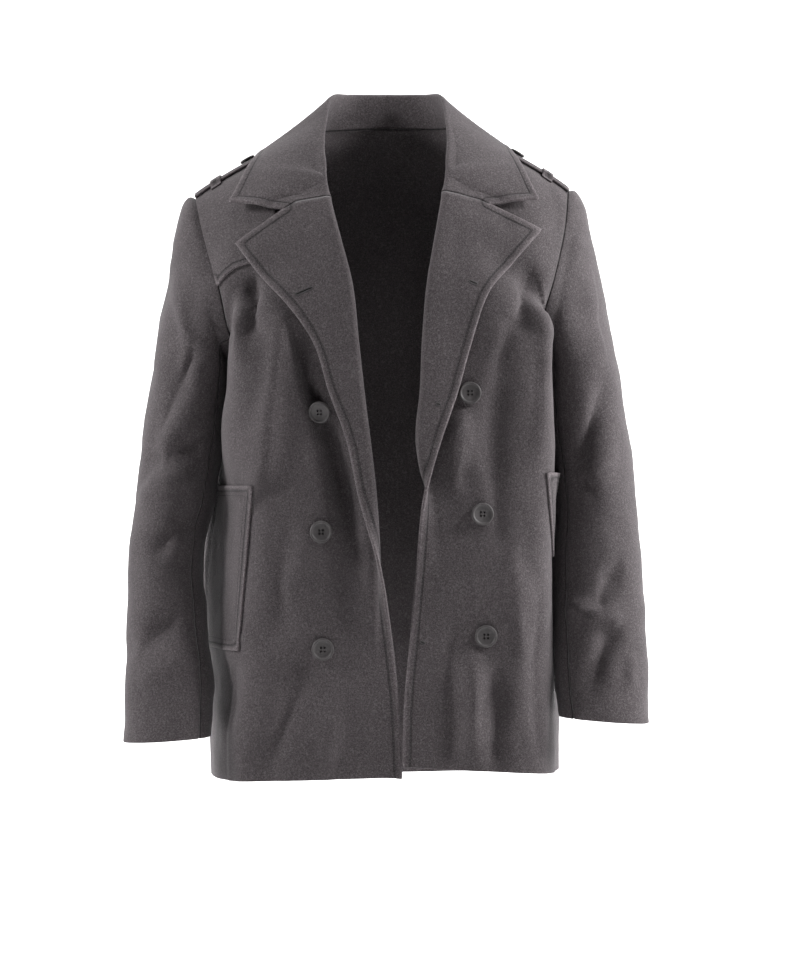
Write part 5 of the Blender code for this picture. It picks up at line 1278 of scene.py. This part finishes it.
def storm_flap(panel, normals):
    """Flap over the right chest, from the shoulder seam to its shaped edge."""
    bm = patch_mesh(panel, normals, FLAP_BOTTOM - FLAP_MARGIN)
    strip = bm.faces.layers.int["strip"]
    crossings = []
    for column in panel.transpose(1, 0, 2):
        over = [point[2] - flap_edge(-point[0]) for point in column]
        i = max(k for k, height in enumerate(over) if height < 0)
        t = over[i] / (over[i] - over[i + 1])
        crossings.append(column[i] + t * (column[i + 1] - column[i]))
    strips = [[] for _ in crossings[1:]]
    for face in bm.faces:
        strips[face[strip]].append(face)
    for faces, a, b in zip(strips, crossings, crossings[1:]):
        cut(bm, faces, a, np.cross(b - a, (0.0, 1.0, 0.0)), keep_all=True)
    below = []
    for face in bm.faces:
        middle = face.calc_center_median()
        a, b = crossings[face[strip]], crossings[face[strip] + 1]
        line = a[2] + (middle.x - a[0]) * (b[2] - a[2]) / (b[0] - a[0])
        if middle.z < line or middle.z < FLAP_BOTTOM:
            below.append(face)
    bmesh.ops.delete(bm, geom=below, context="FACES")
    trim(bm, ((-FLAP_INNER, 0, 0), (1, 0, 0)), ((0, FLAP_TOP, 0), (0, 1, 0)))
    edge_tree = point_tree(crossings)
    return patch_piece(bm, lambda point: PATCH_GAP, PATCH_CLOTH,
                       lambda point: edge_tree.find(point)[2] < FLAP_SEWN)


def pocket_low(side, point):
    """Height of a pocket's under side, open at the top of its entry."""
    entry_y, entry_lean = POCKET_ENTRY_TOP[side]
    down = POCKET_TOP[side] - point[2]
    forward = entry_y + entry_lean * down - point[1]
    off = (forward / GAPE_REACH[0]) ** 2 + (down / GAPE_REACH[1]) ** 2
    return PATCH_GAP + POCKET_GAPE[side] * math.exp(-off)


def pocket(side, panel, normals):
    """Patch pocket round the flank, with a slanted entry near the side seam."""
    sign, top, bottom = SIDE[side], POCKET_TOP[side], POCKET_BOTTOM[side]
    front_out, front_lean = POCKET_FRONT[side]
    entry_y, entry_lean = POCKET_ENTRY_TOP[side]
    bm = patch_mesh(panel, normals, bottom - POCKET_MARGIN, top + POCKET_MARGIN)
    trim(bm, ((0, 0, top), (0, 0, 1)), ((0, 0, bottom), (0, 0, -1)),
         ((sign * front_out, 0, top), (-sign, 0, -front_lean)),
         ((0, entry_y, top), (0, 1, entry_lean)), ((0, POCKET_BACK[side], 0), (0, 1, 0)))
    return patch_piece(bm, lambda point: pocket_low(side, point), PATCH_CLOTH)


def shoulder_top(front, back):
    """Front and back rows either side of the shoulder seam, joined in one grid."""
    back_half = back[:, :FRONT_COLUMNS + 1]
    return np.concatenate([front[-SHOULDER_ROWS:], back_half[-2:-1 - SHOULDER_ROWS:-1]])


def epaulette(side, top, normals):
    """Strap from the armhole seam along the shoulder, its point under the collar."""
    sign, centre, half = SIDE[side], STRAP_CENTRE_Y, STRAP_HALF_WIDTH
    drawn = top.copy()
    drawn[:, 0] += unit(top[:, 1] - top[:, 0]) * STRAP_SEAM
    bm = patch_mesh(drawn, normals)
    tip = (sign * STRAP_TIP[side], centre, 0)
    trim(bm, ((0, centre - half, 0), (0, -1, 0)), ((0, centre + half, 0), (0, 1, 0)),
         (tip, (-sign, -STRAP_POINT, 0)), (tip, (-sign, STRAP_POINT, 0)))
    if side == "right":
        score(bm, FLAP_END)
    return patch_piece(bm, lambda point: strap_low(side, point), STRAP_CLOTH)


def carrier_loop(side, top, normals):
    """Narrow band over the epaulette, sewn down in front and behind."""
    middle, centre, half = SIDE[side] * LOOP_AT[side], STRAP_CENTRE_Y, STRAP_HALF_WIDTH
    bm = patch_mesh(top, normals)
    for way in (-1, 1):
        trim(bm, ((0, centre + way * (LOOP_REACH * half), 0), (0, way, 0)),
             ((middle + way * LOOP_WIDTH / 2, 0, 0), (way, 0, 0)))
        score(bm, [centre + way * half * share for share in LOOP_DROP[0]])
    if side == "right":
        score(bm, FLAP_END)
    return patch_piece(bm, lambda point: loop_low(side, point), LOOP_CLOTH)


def flap_under(side, y):
    """Height that the storm flap adds under an epaulette."""
    if side == "left":
        return 0.0
    return (PATCH_GAP + PATCH_CLOTH) * (1 - float(smoothstep(*FLAP_END, y)))


def strap_low(side, point):
    """Height of an epaulette's under side over the shoulder."""
    return PATCH_GAP + flap_under(side, point[1])


def loop_low(side, point):
    """Height of a carrier loop's under side over the shoulder."""
    across = abs(point[1] - STRAP_CENTRE_Y) / STRAP_HALF_WIDTH
    down = float(np.interp(across, *LOOP_DROP))
    return strap_low(side, point) + (STRAP_CLOTH + PATCH_GAP) * (1 - down)


# ---- buttons and buttonholes ----
def turned_button(name, radius, height):
    """Dished round button turned from its profile, its back at z = 0."""
    bm = bmesh.new()
    rings = []
    for share, rise in BUTTON_PROFILE:
        turns = (2 * math.pi * k / BUTTON_SIDES for k in range(BUTTON_SIDES))
        rings.append([bm.verts.new((radius * share * math.cos(turn),
                                    radius * share * math.sin(turn), height * rise))
                      for turn in turns])
    for low, high in zip(rings, rings[1:]):
        for k in range(BUTTON_SIDES):
            n = (k + 1) % BUTTON_SIDES
            bm.faces.new((low[k], low[n], high[n], high[k]))
    bm.faces.new(rings[0][::-1])
    bm.faces.new(rings[-1])
    return mesh_from(name, bm)


def hole_places(scale):
    """The four thread holes of a button, round its middle."""
    turns = [math.pi / 4 + k * math.pi / 2 for k in range(4)]
    return [Vector((math.cos(turn), math.sin(turn), 0)) * HOLE_OFFSET * scale for turn in turns]


def pierced(name, mesh, scale):
    """Button with its four holes cut through."""
    thing = placed(name, mesh)
    bm = bmesh.new()
    for place in hole_places(scale):
        made = bmesh.ops.create_cone(bm, cap_ends=True, segments=HOLE_SIDES,
                                     radius1=HOLE_RADIUS * scale, radius2=HOLE_RADIUS * scale,
                                     depth=4 * BUTTON_HEIGHT)
        bmesh.ops.translate(bm, verts=made["verts"], vec=place)
    cutter = placed(name + "_holes", mesh_from(name + "_holes", bm))
    drill = thing.modifiers.new("thread holes", "BOOLEAN")
    drill.operation = "DIFFERENCE"
    drill.object = cutter
    bpy.context.view_layer.update()
    solid = bpy.data.meshes.new_from_object(
        thing.evaluated_get(bpy.context.evaluated_depsgraph_get()))
    thing.modifiers.clear()
    thing.data = solid
    bpy.data.objects.remove(cutter)
    solid.shade_smooth()
    solid.set_sharp_from_angle(angle=math.radians(BUTTON_SHARP))
    solid.materials.clear()
    solid.materials.append(finish("horn"))
    return thing


def sewn_button(node, radius, place, facing):
    """Pierced button set on the cloth, with the thread through its holes."""
    name = "horn_" + node
    scale = radius / BUTTON_RADIUS
    height = BUTTON_HEIGHT * scale
    turn = Vector(facing).to_track_quat("Z", "Y").to_matrix().to_4x4()
    stand = Matrix.Translation(place) @ turn
    button = pierced(name, turned_button(name, radius, height), scale)
    button.data.transform(stand)
    ride_on(button, node)
    runs = []
    holes = hole_places(scale)
    floor = Vector((0, 0, height * BUTTON_FLOOR))
    for a, b in ((0, 1), (3, 2)):
        aside = (holes[b] - holes[a]).normalized().cross(Vector((0, 0, 1)))
        for strand in np.linspace(-1, 1, BUTTON_STRANDS):
            shift = aside * strand * HOLE_RADIUS * scale * STRAND_SPREAD
            ends = [(stand @ (holes[k] + shift + floor))[:] for k in (a, b)]
            runs.append((np.array(ends), np.array(facing[:])))
    thread(name + "_thread", runs, STRAND_RADIUS)


def epaulette_button(side, top, normals):
    """Button near the epaulette's point, square to the slope of the shoulder."""
    x = SIDE[side] * STRAP_BUTTON_AT[side]
    tree = surface_tree(top + normals * CLOTH / 2)
    spots = []
    for reach in (-STRAP_BUTTON_RADIUS, 0.0, STRAP_BUTTON_RADIUS):
        down = Vector((x + reach, STRAP_CENTRE_Y, REACH)), Vector((0, 0, -1))
        spots.append(tree.ray_cast(*down)[0])
    run = (spots[2] - spots[0]).normalized()
    facing = Vector((-run.z, 0.0, run.x))
    lift = PATCH_GAP + flap_under(side, STRAP_CENTRE_Y) + STRAP_CLOTH + BUTTON_STAND
    place = spots[1] + facing * lift
    sewn_button("epaulette_button_" + side, STRAP_BUTTON_RADIUS, place, facing)


def front_button(node, panel, normals):
    """Front button on its panel, set off a little from the cloth."""
    x, z = BUTTONS[node]
    tree = surface_tree(panel + normals * CLOTH / 2)
    turns = np.linspace(0, 2 * math.pi, 9)[:-1]
    ring = [(x + BUTTON_RADIUS * math.cos(turn), z + BUTTON_RADIUS * math.sin(turn))
            for turn in turns]
    spots = [Vector((x, depth_at(tree, x, z, 0.0), z)) for x, z in ring + [(x, z)]]
    middle = sum(spots[:-1], Vector()) / len(ring)
    facing = (spots[0] - spots[4]).cross(spots[2] - spots[6]).normalized()
    if facing.y > 0:
        facing = -facing
    proud = max((spot - middle).dot(facing) for spot in spots)
    sewn_button(node, BUTTON_RADIUS, middle + facing * (proud + BUTTON_STAND), facing)


def slit_rim(length, reach, share):
    """Point (along, aside) at a share of a slit's outline, grown by a reach."""
    straight, around = length - 2 * reach, math.pi * reach
    half, way = divmod(share * (2 * straight + 2 * around), straight + around)
    if way < straight:
        place = (reach + way, reach)
    else:
        turn = (way - straight) / reach
        place = (length - reach + reach * math.sin(turn), reach * math.cos(turn))
    return place if half == 0 else (length - place[0], -place[1])


def buttonhole(name, tree, start, end):
    """Worked buttonhole between two (x, z) points on the cloth that faces the front."""
    start, end = np.array(start), np.array(end)
    length = np.linalg.norm(end - start)
    ahead = (end - start) / length
    aside = np.array((-ahead[1], ahead[0]))
    inner, outer = HOLE_SLIT / 2, HOLE_SLIT / 2 + HOLE_BAR
    count = int((2 * length + math.pi * outer) / HOLE_STEP)

    def laid(flat, lift):
        """Point lifted off the cloth and the cloth's normal there."""
        x, z = start + ahead * flat[0] + aside * flat[1]
        spot, normal = tree.ray_cast(Vector((x, -REACH, z)), Vector((0, 1, 0)))[:2]
        normal = normal if normal.y < 0 else -normal
        return np.array((spot + normal * lift)[:]), np.array(normal[:])

    rims = [[slit_rim(length, reach, k / count) for k in range(count)]
            for reach in (inner, outer)]
    runs = []
    for near, away in zip(*rims):
        (low, up), (high, _) = laid(near, BAR_LIFTS[0]), laid(away, BAR_LIFTS[1])
        runs.append(((low, high), up))
    thread(name, runs)
    spine = [(length * share, 0.0) for share in np.linspace(*SLIT_SPINE)]
    points = np.array([laid(flat, SLIT_LIFT)[0] for flat in rims[0] + spine])
    middles = points[count:]
    bm = bmesh.new()
    verts = [bm.verts.new(point) for point in points.tolist()]
    nearest = [verts[count + int(np.argmin(np.linalg.norm(middles - point, axis=1)))]
               for point in points[:count]]
    for k in range(count):
        n = (k + 1) % count
        ends = (nearest[k],) if nearest[k] is nearest[n] else (nearest[n], nearest[k])
        bm.faces.new((verts[k], verts[n], *ends))
    bmesh.ops.solidify(bm, geom=list(bm.faces), thickness=SLIT_CLOTH)
    # sheet of painted shade where the open slit would show dark
    slit = placed(name + "_slit", mesh_from(name + "_slit", bm), finish("shade"))
    ride_on(slit)


# ---- finishes ----
# Noise of each: size in metres, detail, roughness.
FIBRE, FLECK = (0.0011, 3.0, 0.7), (0.0021, 3.0, 0.7)
CLOUD, WEAR = (0.007, 3.0, 0.6), (0.06, 3.0, 0.5)
STREAK, TWIST, SLIT_SHADE_GRAIN = (0.009, 3.0, 0.5), (0.0006, 2.0, 0.5), (0.001, 2.0, 0.5)
# Values between which each goes over from its first colour to its second.
FIBRE_STEP, FLECK_STEP = (0.34, 0.62), (0.46, 0.74)
STREAK_STEP, TWIST_STEP = (0.35, 0.7), (0.35, 0.65)
FLECK_SHARE = 0.46
WEAR_AND_HIGHLIGHT_WIDTH = 0.0018  # rim of an edge lightened partly as rubbed wear, partly as a painted highlight
ROW_WIDTH, SEAM_WIDTH = 0.0013, 0.0016  # painted shade along a row of stitches and a seam
ROW_DIP, SEAM_DIP = 0.0011, 0.0012  # how wide the cloth dips there
BUMP_DISTANCE = 0.001


def operator(operation, reflected=False):
    """Arithmetic operator of a socket, as one Math node."""
    def apply(self, other):
        pair = (other, self) if reflected else (self, other)
        return self.math(operation, *pair)
    return apply


class Socket:
    """Output of a shader node that takes part in arithmetic."""

    def __init__(self, finish, output):
        self.finish = finish
        self.output = output

    def math(self, operation, *values):
        return self.finish.node("ShaderNodeMath", {"operation": operation},
                                dict(enumerate(values)))

    __add__, __radd__ = operator("ADD"), operator("ADD", True)
    __sub__, __rsub__ = operator("SUBTRACT"), operator("SUBTRACT", True)
    __mul__, __rmul__ = operator("MULTIPLY"), operator("MULTIPLY", True)
    __truediv__, __rtruediv__ = operator("DIVIDE"), operator("DIVIDE", True)

    def __neg__(self):
        return self * -1.0

    def bell(self, middle, width):
        """One where the value is the middle, falling off smoothly over a width."""
        off = (self - middle) / width
        return self.math("EXPONENT", -(off * off))

    def step(self, low, high):
        """Zero up to the low value, one from the high value on."""
        return self.finish.node("ShaderNodeMapRange", {"interpolation_type": "SMOOTHSTEP"},
                                {"Value": self, "From Min": low, "From Max": high})


class Finish:
    """Material whose nodes are added one by one."""

    def __init__(self, name):
        self.material = bpy.data.materials.new(name)
        self.material.use_nodes = True
        self.tree = self.material.node_tree

    def node(self, kind, settings=None, values=None, output=0):
        """Add a node, give it its settings, then its sockets, and return an output."""
        made = self.tree.nodes.new(kind)
        for key, value in (settings or {}).items():
            setattr(made, key, value)
        self.feed(made, values or {})
        return Socket(self, made.outputs[output])

    def feed(self, node, values):
        """Give sockets of a node their values or links."""
        for key, value in values.items():
            if isinstance(value, Socket):
                self.tree.links.new(value.output, node.inputs[key])
            else:
                node.inputs[key].default_value = value

    def surface(self, **values):
        """Feed the surface itself; a name's _ stands for a space."""
        self.feed(self.tree.nodes["Principled BSDF"],
                  {key.replace("_", " "): value for key, value in values.items()})
        return self.material

    def noise(self, size, detail, roughness):
        """Noise with features of about a size in metres."""
        place = self.node("ShaderNodeTexCoord", output="Object")
        return self.node("ShaderNodeTexNoise", None,
                         {"Vector": place, "Scale": 1 / size, "Detail": detail,
                          "Roughness": roughness})

    def mix(self, share, low, high, blend="MIX"):
        """Colour between two colours."""
        low, high = (value if isinstance(value, Socket) else (*value, 1.0)
                     for value in (low, high))
        settings = {"data_type": "RGBA", "blend_type": blend}
        return self.node("ShaderNodeMix", settings, {0: share, 6: low, 7: high}, output=2)

    def carried(self, name):
        """Value that the mesh carries under a name."""
        return self.node("ShaderNodeAttribute", {"attribute_name": name}, output="Fac")

    def bump(self, height):
        """Normal of a surface whose height is given as shares of BUMP_DISTANCE."""
        return self.node("ShaderNodeBump", None,
                         {"Height": height, "Distance": BUMP_DISTANCE, "Strength": 1.0})


def melton(name, stitch_in):
    """Dense milled wool: heathered fibres, a short nap, pressed seams and stitch lines; painted
    shade darkens their grooves, and edges are lightened partly as wear, partly as a painted
    highlight.
    """
    cloth = Finish(name)
    colours = bpy.context.scene.coat_cloth
    fibre, fleck, cloud, wear = (cloth.noise(*hand) for hand in (FIBRE, FLECK, CLOUD, WEAR))
    edge, seam = cloth.carried("edge"), cloth.carried("seam")
    shade = cloth.mix(fibre.step(*FIBRE_STEP), colours.dark, colours.plain)
    shade = cloth.mix(fleck.step(*FLECK_STEP) * FLECK_SHARE, shade, colours.light)
    tone = 0.63 + 0.32 * cloud + 0.36 * wear
    # edges lightened partly as rubbed wear and partly as a painted highlight on the rolled edge
    worn_and_highlit_edge = edge.bell(0.0, WEAR_AND_HIGHLIGHT_WIDTH) * 0.55
    # painted shade darkens the grooves of the stitch rows and the seams
    pressed = edge.bell(stitch_in, ROW_WIDTH) * 0.52 + seam.bell(0.0, SEAM_WIDTH) * 0.65
    tone = tone + worn_and_highlit_edge - pressed
    grey = cloth.node("ShaderNodeCombineColor", None, {0: tone, 1: tone, 2: tone})
    height = fibre * 0.22 + fleck * 0.24 + cloud * 0.45
    height = height - edge.bell(stitch_in, ROW_DIP) * 0.55 - seam.bell(0.0, SEAM_DIP) * 0.8
    return cloth.surface(Base_Color=cloth.mix(1.0, shade, grey, "MULTIPLY"),
                         Roughness=0.80 + 0.16 * cloud, Specular_IOR_Level=0.25,
                         Sheen_Weight=0.14, Sheen_Roughness=0.45,
                         Sheen_Tint=(0.85, 0.82, 0.84, 1.0), Normal=cloth.bump(height))


def horn():
    """Dark polished button stock, faintly streaked."""
    stock = Finish("horn")
    streak = stock.noise(*STREAK)
    colours = bpy.context.scene.coat_buttons
    return stock.surface(
        Base_Color=stock.mix(streak.step(*STREAK_STEP), colours.dark, colours.light),
        Roughness=0.46 + 0.16 * streak, Specular_IOR_Level=0.3, Normal=stock.bump(streak * 0.01))


def thread_finish():
    """Twisted sewing thread."""
    spun = Finish("thread")
    twist = spun.noise(*TWIST)
    colour = bpy.context.scene.coat_cloth.thread
    deep = tuple(value * 0.5 for value in colour)
    return spun.surface(Base_Color=spun.mix(twist.step(*TWIST_STEP), deep, colour),
                        Roughness=0.7, Normal=spun.bump(twist * 0.08))


def shade_finish():
    """Painted shade inside an open slit."""
    dark = Finish("shade")
    shade = dark.mix(dark.noise(*SLIT_SHADE_GRAIN), (0.006, 0.005, 0.005), (0.014, 0.013, 0.013))
    return dark.surface(Base_Color=shade, Roughness=1.0)


@functools.cache
def finish(kind):
    """Each finish of the coat, made once."""
    makers = {"wool": lambda: melton("wool", STITCH_IN),
              "patch_wool": lambda: melton("patch_wool", PATCH_STITCH_IN),
              "horn": horn, "thread": thread_finish, "shade": shade_finish}
    return makers[kind]()


# ---- placing pieces on the coat ----
def ride_on(thing, node=None):
    """Fix a piece to the coat and hide the solid that it stands for."""
    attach(thing, "root")
    if node:
        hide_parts(node)


def dress(node, piece, thickness, rolled, kind):
    """Finished cloth of one solid."""
    thing = shell(node + "_cloth", piece, thickness, rolled, finish(kind))
    ride_on(thing, node)


def dress_sewn(node):
    """One of the sewn pieces, dressed in the wool of the body."""
    cloth = bpy.context.scene.coat_cloth
    piece = sewn_pieces()[node]
    dress(node, piece, cloth.wall, cloth.edge, "wool")
    return piece


def topstitch(node, piece, distances=(STITCH_IN,), faces=(1,)):
    """Rows of topstitching at distances in from a piece's stitched edges."""
    runs = []
    for distance in distances:
        for face_side in faces:
            runs += stitch_runs(level_lines(piece, piece["edge"], distance, face_side))
    thread(node + "_topstitching", runs)


def hem_stitching(node, piece):
    """Row of stitches along the hem near the front edge, where the facing is caught."""
    hem = piece["points"][piece["hem"]]
    runs = []
    for points, normals in level_lines(piece, distance_to(piece["points"], [hem]),
                                       HEM_STITCH_IN, 1):
        near = np.abs(points[:, 0] - hem[-1, 0]) < HEM_STITCH_REACH
        if near.sum() > 1:
            runs += stitch_runs([(points[near], normals[near])])
    thread(node + "_hem_stitching", runs)


# ---- what a user can change ----
def length_field(name, description, default, **limits):
    """Size that a user can change."""
    return FloatProperty(name=name, description=description, default=default, unit="LENGTH",
                         **limits)


def power_field(name, description, default):
    """Power of a light that a user can change."""
    return FloatProperty(name=name, description=description, default=default, unit="POWER")


def colour_field(name, description, default):
    """Colour that a user can change."""
    return FloatVectorProperty(name=name, description=description, default=default,
                               subtype="COLOR", min=0, max=1)


class CoatCloth(bpy.types.PropertyGroup):
    """Wool and thread of the coat."""

    wall: length_field("Cloth", "Thickness of a single layer of the melton", 0.0026,
                 min=0.001, max=0.004)
    edge: length_field("Rolled edge", "Thickness of a turned and pressed edge", 0.0042,
                 min=0.001, max=0.008)
    dark: colour_field("Dark fibres", "Colour of the darkest fibres", (0.026, 0.022, 0.024))
    plain: colour_field("Ground fibres", "Main colour of the wool", (0.066, 0.056, 0.059))
    light: colour_field("Pale fibres", "Colour of the pale flecks", (0.160, 0.146, 0.151))
    thread: colour_field("Thread", "Colour of the sewing thread", (0.040, 0.035, 0.037))


class CoatButtons(bpy.types.PropertyGroup):
    """Colours of the buttons."""

    dark: colour_field("Dark streaks", "Darker colour of the buttons", (0.044, 0.040, 0.041))
    light: colour_field("Light streaks", "Lighter colour of the buttons", (0.062, 0.057, 0.058))


class CoatStage(bpy.types.PropertyGroup):
    """Floor, light and camera round the coat."""

    floor: length_field("Floor", "Height of the floor", -1.43)
    paper: colour_field("Paper", "Colour of the floor and backdrop", (0.93, 0.93, 0.93))
    key: power_field("Key light", "Power of the light on the coat's right", 94.0)
    fill: power_field("Fill light", "Power of the light on the coat's left", 118.0)
    top: power_field("Top light", "Power of the light overhead", 25.0)
    right_rim: power_field("Right rim", "Power of the low light at its right side", 60.0)
    left_rim: power_field("Left rim", "Power of the low light at its left side", 135.0)
    paper_light: power_field("Paper light", "Power of the backdrop's light", 420.0)
    ambient: FloatProperty(name="Ambient", description="Strength of the light all round",
                           default=0.02, min=0)
    distance: length_field("Camera distance", "From the camera to the shoulders", 3.6)


# ---- operators ----
class COAT_OT_body(bpy.types.Operator):
    """Build the back and the two fronts with their lapels"""

    bl_idname = "coat.body"
    bl_label = "Back and fronts"

    def execute(self, context):
        dress_sewn("back")
        for side in SIDE:
            node = "front_" + side
            piece = dress_sewn(node)
            topstitch(node, piece, faces=(1, -1))
            hem_stitching(node, piece)
        return {"FINISHED"}


class COAT_OT_sleeves(bpy.types.Operator):
    """Build the upper and under sleeves"""

    bl_idname = "coat.sleeves"
    bl_label = "Sleeves"

    def execute(self, context):
        for side in SIDE:
            for node in ("upper_sleeve_" + side, "under_sleeve_" + side):
                dress_sewn(node)
        return {"FINISHED"}


class COAT_OT_collar(bpy.types.Operator):
    """Build the collar"""

    bl_idname = "coat.collar"
    bl_label = "Collar"

    def execute(self, context):
        topstitch("collar", dress_sewn("collar"))
        return {"FINISHED"}


def sew_on(node, piece, thickness, rolled, rows=PATCH_ROW):
    """Patch dressed in its own wool, with its rows of topstitching."""
    dress(node, piece, thickness, rolled, "patch_wool")
    topstitch(node, piece, rows)


class COAT_OT_patches(bpy.types.Operator):
    """Build the pockets and the storm flap"""

    bl_idname = "coat.patches"
    bl_label = "Pockets and storm flap"

    def execute(self, context):
        grids, normals = surfaces()
        for side in SIDE:
            front = "front_" + side
            piece = pocket(side, grids[front], normals[front])
            sew_on("pocket_" + side, piece, PATCH_CLOTH, PATCH_EDGE, POCKET_ROWS)
        piece = storm_flap(grids["front_right"], normals["front_right"])
        sew_on("storm_flap", piece, PATCH_CLOTH, PATCH_EDGE)
        return {"FINISHED"}


class COAT_OT_epaulettes(bpy.types.Operator):
    """Build the epaulettes, their carrier loops and their buttons"""

    bl_idname = "coat.epaulettes"
    bl_label = "Epaulettes"

    def execute(self, context):
        for side in SIDE:
            from_side = np.s_[:, ::int(-SIDE[side])]
            top, normals = [shoulder_top(parts["front_" + side], parts["back"][from_side])
                            for parts in surfaces()]
            strap, loop = "epaulette_" + side, "epaulette_loop_" + side
            sew_on(strap, epaulette(side, top, normals), STRAP_CLOTH, STRAP_CLOTH)
            dress(loop, carrier_loop(side, top, normals), LOOP_CLOTH, LOOP_CLOTH,
                  "patch_wool")
            epaulette_button(side, top, normals)
        return {"FINISHED"}


class COAT_OT_buttons(bpy.types.Operator):
    """Sew on the front buttons"""

    bl_idname = "coat.buttons"
    bl_label = "Front buttons"

    def execute(self, context):
        grids, normals = surfaces()
        for node in BUTTONS:
            side = "right" if "right" in node else "left"
            front_button(node, grids["front_" + side], normals["front_" + side])
        return {"FINISHED"}


class COAT_OT_buttonholes(bpy.types.Operator):
    """Work the buttonholes of the lapels and the front edges"""

    bl_idname = "coat.buttonholes"
    bl_label = "Buttonholes"

    def execute(self, context):
        for side, places in BUTTONHOLES.items():
            piece = sewn_pieces()["front_" + side]
            skins = [piece["points"] + way * piece["normals"] * piece["half"] for way in (1, -1)]
            points = [Vector(point) for point in np.vstack(skins)]
            faces = piece["faces"] + [tuple(v + len(skins[0]) for v in face)
                                      for face in piece["faces"]]
            tree = BVHTree.FromPolygons(points, faces)
            for number, (start, end) in enumerate(places, start=1):
                buttonhole(f"buttonhole_{side}_{number}", tree, start, end)
        return {"FINISHED"}


def paper_sweep(stage):
    """Floor that curves up into the backdrop."""
    profile = [(PAPER_FRONT, stage.floor), (PAPER_BACK - PAPER_BEND, stage.floor)]
    for turn in np.linspace(0, math.pi / 2, BEND_STEPS + 1)[1:]:
        profile.append((PAPER_BACK - PAPER_BEND + PAPER_BEND * math.sin(turn),
                        stage.floor + PAPER_BEND * (1 - math.cos(turn))))
    profile.append((PAPER_BACK, stage.floor + PAPER_HEIGHT))
    points = [(x, y, z) for y, z in profile for x in (-PAPER_HALF, PAPER_HALF)]
    faces = [(2 * k, 2 * k + 1, 2 * k + 3, 2 * k + 2) for k in range(len(profile) - 1)]
    paper = Finish("paper").surface(Base_Color=(*stage.paper, 1.0), Roughness=0.9,
                                    Specular_IOR_Level=0.1)
    placed("paper_sweep", new_mesh("paper_sweep", points, faces), paper)


class COAT_OT_stage(bpy.types.Operator):
    """Set up the floor, backdrop, lights and camera"""

    bl_idname = "coat.stage"
    bl_label = "Stage"

    def execute(self, context):
        scene = context.scene
        stage = scene.coat_stage
        paper_sweep(stage)
        for name, (place, aim, size) in LIGHTS.items():
            light = bpy.data.lights.new(name, "AREA")
            light.size = size
            light.energy = getattr(stage, name)
            lamp = placed(name, light)
            lamp.location = place
            way = Vector(aim) - lamp.location
            lamp.rotation_euler = way.to_track_quat("-Z", "Y").to_euler()
        scene.world = bpy.data.worlds.new("room")
        scene.world.use_nodes = True
        sky = scene.world.node_tree.nodes["Background"].inputs
        sky["Color"].default_value = (1, 1, 1, 1)
        sky["Strength"].default_value = stage.ambient
        scene.view_settings.view_transform = "Standard"
        lens = bpy.data.cameras.new("camera")
        lens.sensor_width = SENSOR
        lens.lens = SENSOR * FOCAL_PIXELS / FRAME_HEIGHT
        scene.camera = placed("camera", lens)
        scene.camera.location = (CAMERA_X, -stage.distance, CAMERA_Z)
        scene.camera.rotation_euler = (math.pi / 2, 0, 0)
        return {"FINISHED"}


class COAT_PT_panel(bpy.types.Panel):
    """Sizes, colours and steps of the coat"""

    bl_label = "Pea Coat"
    bl_idname = "COAT_PT_panel"
    bl_space_type = "VIEW_3D"
    bl_region_type = "UI"
    bl_category = "Coat"

    def draw(self, context):
        for group in (context.scene.coat_cloth, context.scene.coat_buttons,
                      context.scene.coat_stage):
            box = self.layout.box()
            for name in group.__annotations__:
                box.prop(group, name)
        for operator in OPERATORS:
            self.layout.operator(operator.bl_idname)


GROUPS = {"coat_cloth": CoatCloth, "coat_buttons": CoatButtons, "coat_stage": CoatStage}
OPERATORS = (COAT_OT_body, COAT_OT_sleeves, COAT_OT_collar, COAT_OT_patches,
             COAT_OT_epaulettes, COAT_OT_buttons, COAT_OT_buttonholes, COAT_OT_stage)


def register():
    for kind in (*GROUPS.values(), *OPERATORS, COAT_PT_panel):
        bpy.utils.register_class(kind)
    for name, group in GROUPS.items():
        setattr(bpy.types.Scene, name, PointerProperty(type=group))


def unregister():
    for name in GROUPS:
        delattr(bpy.types.Scene, name)
    for kind in (COAT_PT_panel, *reversed(OPERATORS), *GROUPS.values()):
        bpy.utils.unregister_class(kind)


def main():
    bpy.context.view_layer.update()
    register()
    bpy.ops.coat.body()
    bpy.ops.coat.sleeves()
    bpy.ops.coat.collar()
    bpy.ops.coat.patches()
    bpy.ops.coat.epaulettes()
    bpy.ops.coat.buttons()
    bpy.ops.coat.buttonholes()
    bpy.ops.coat.stage()


if __name__ == "__main__":
    main()
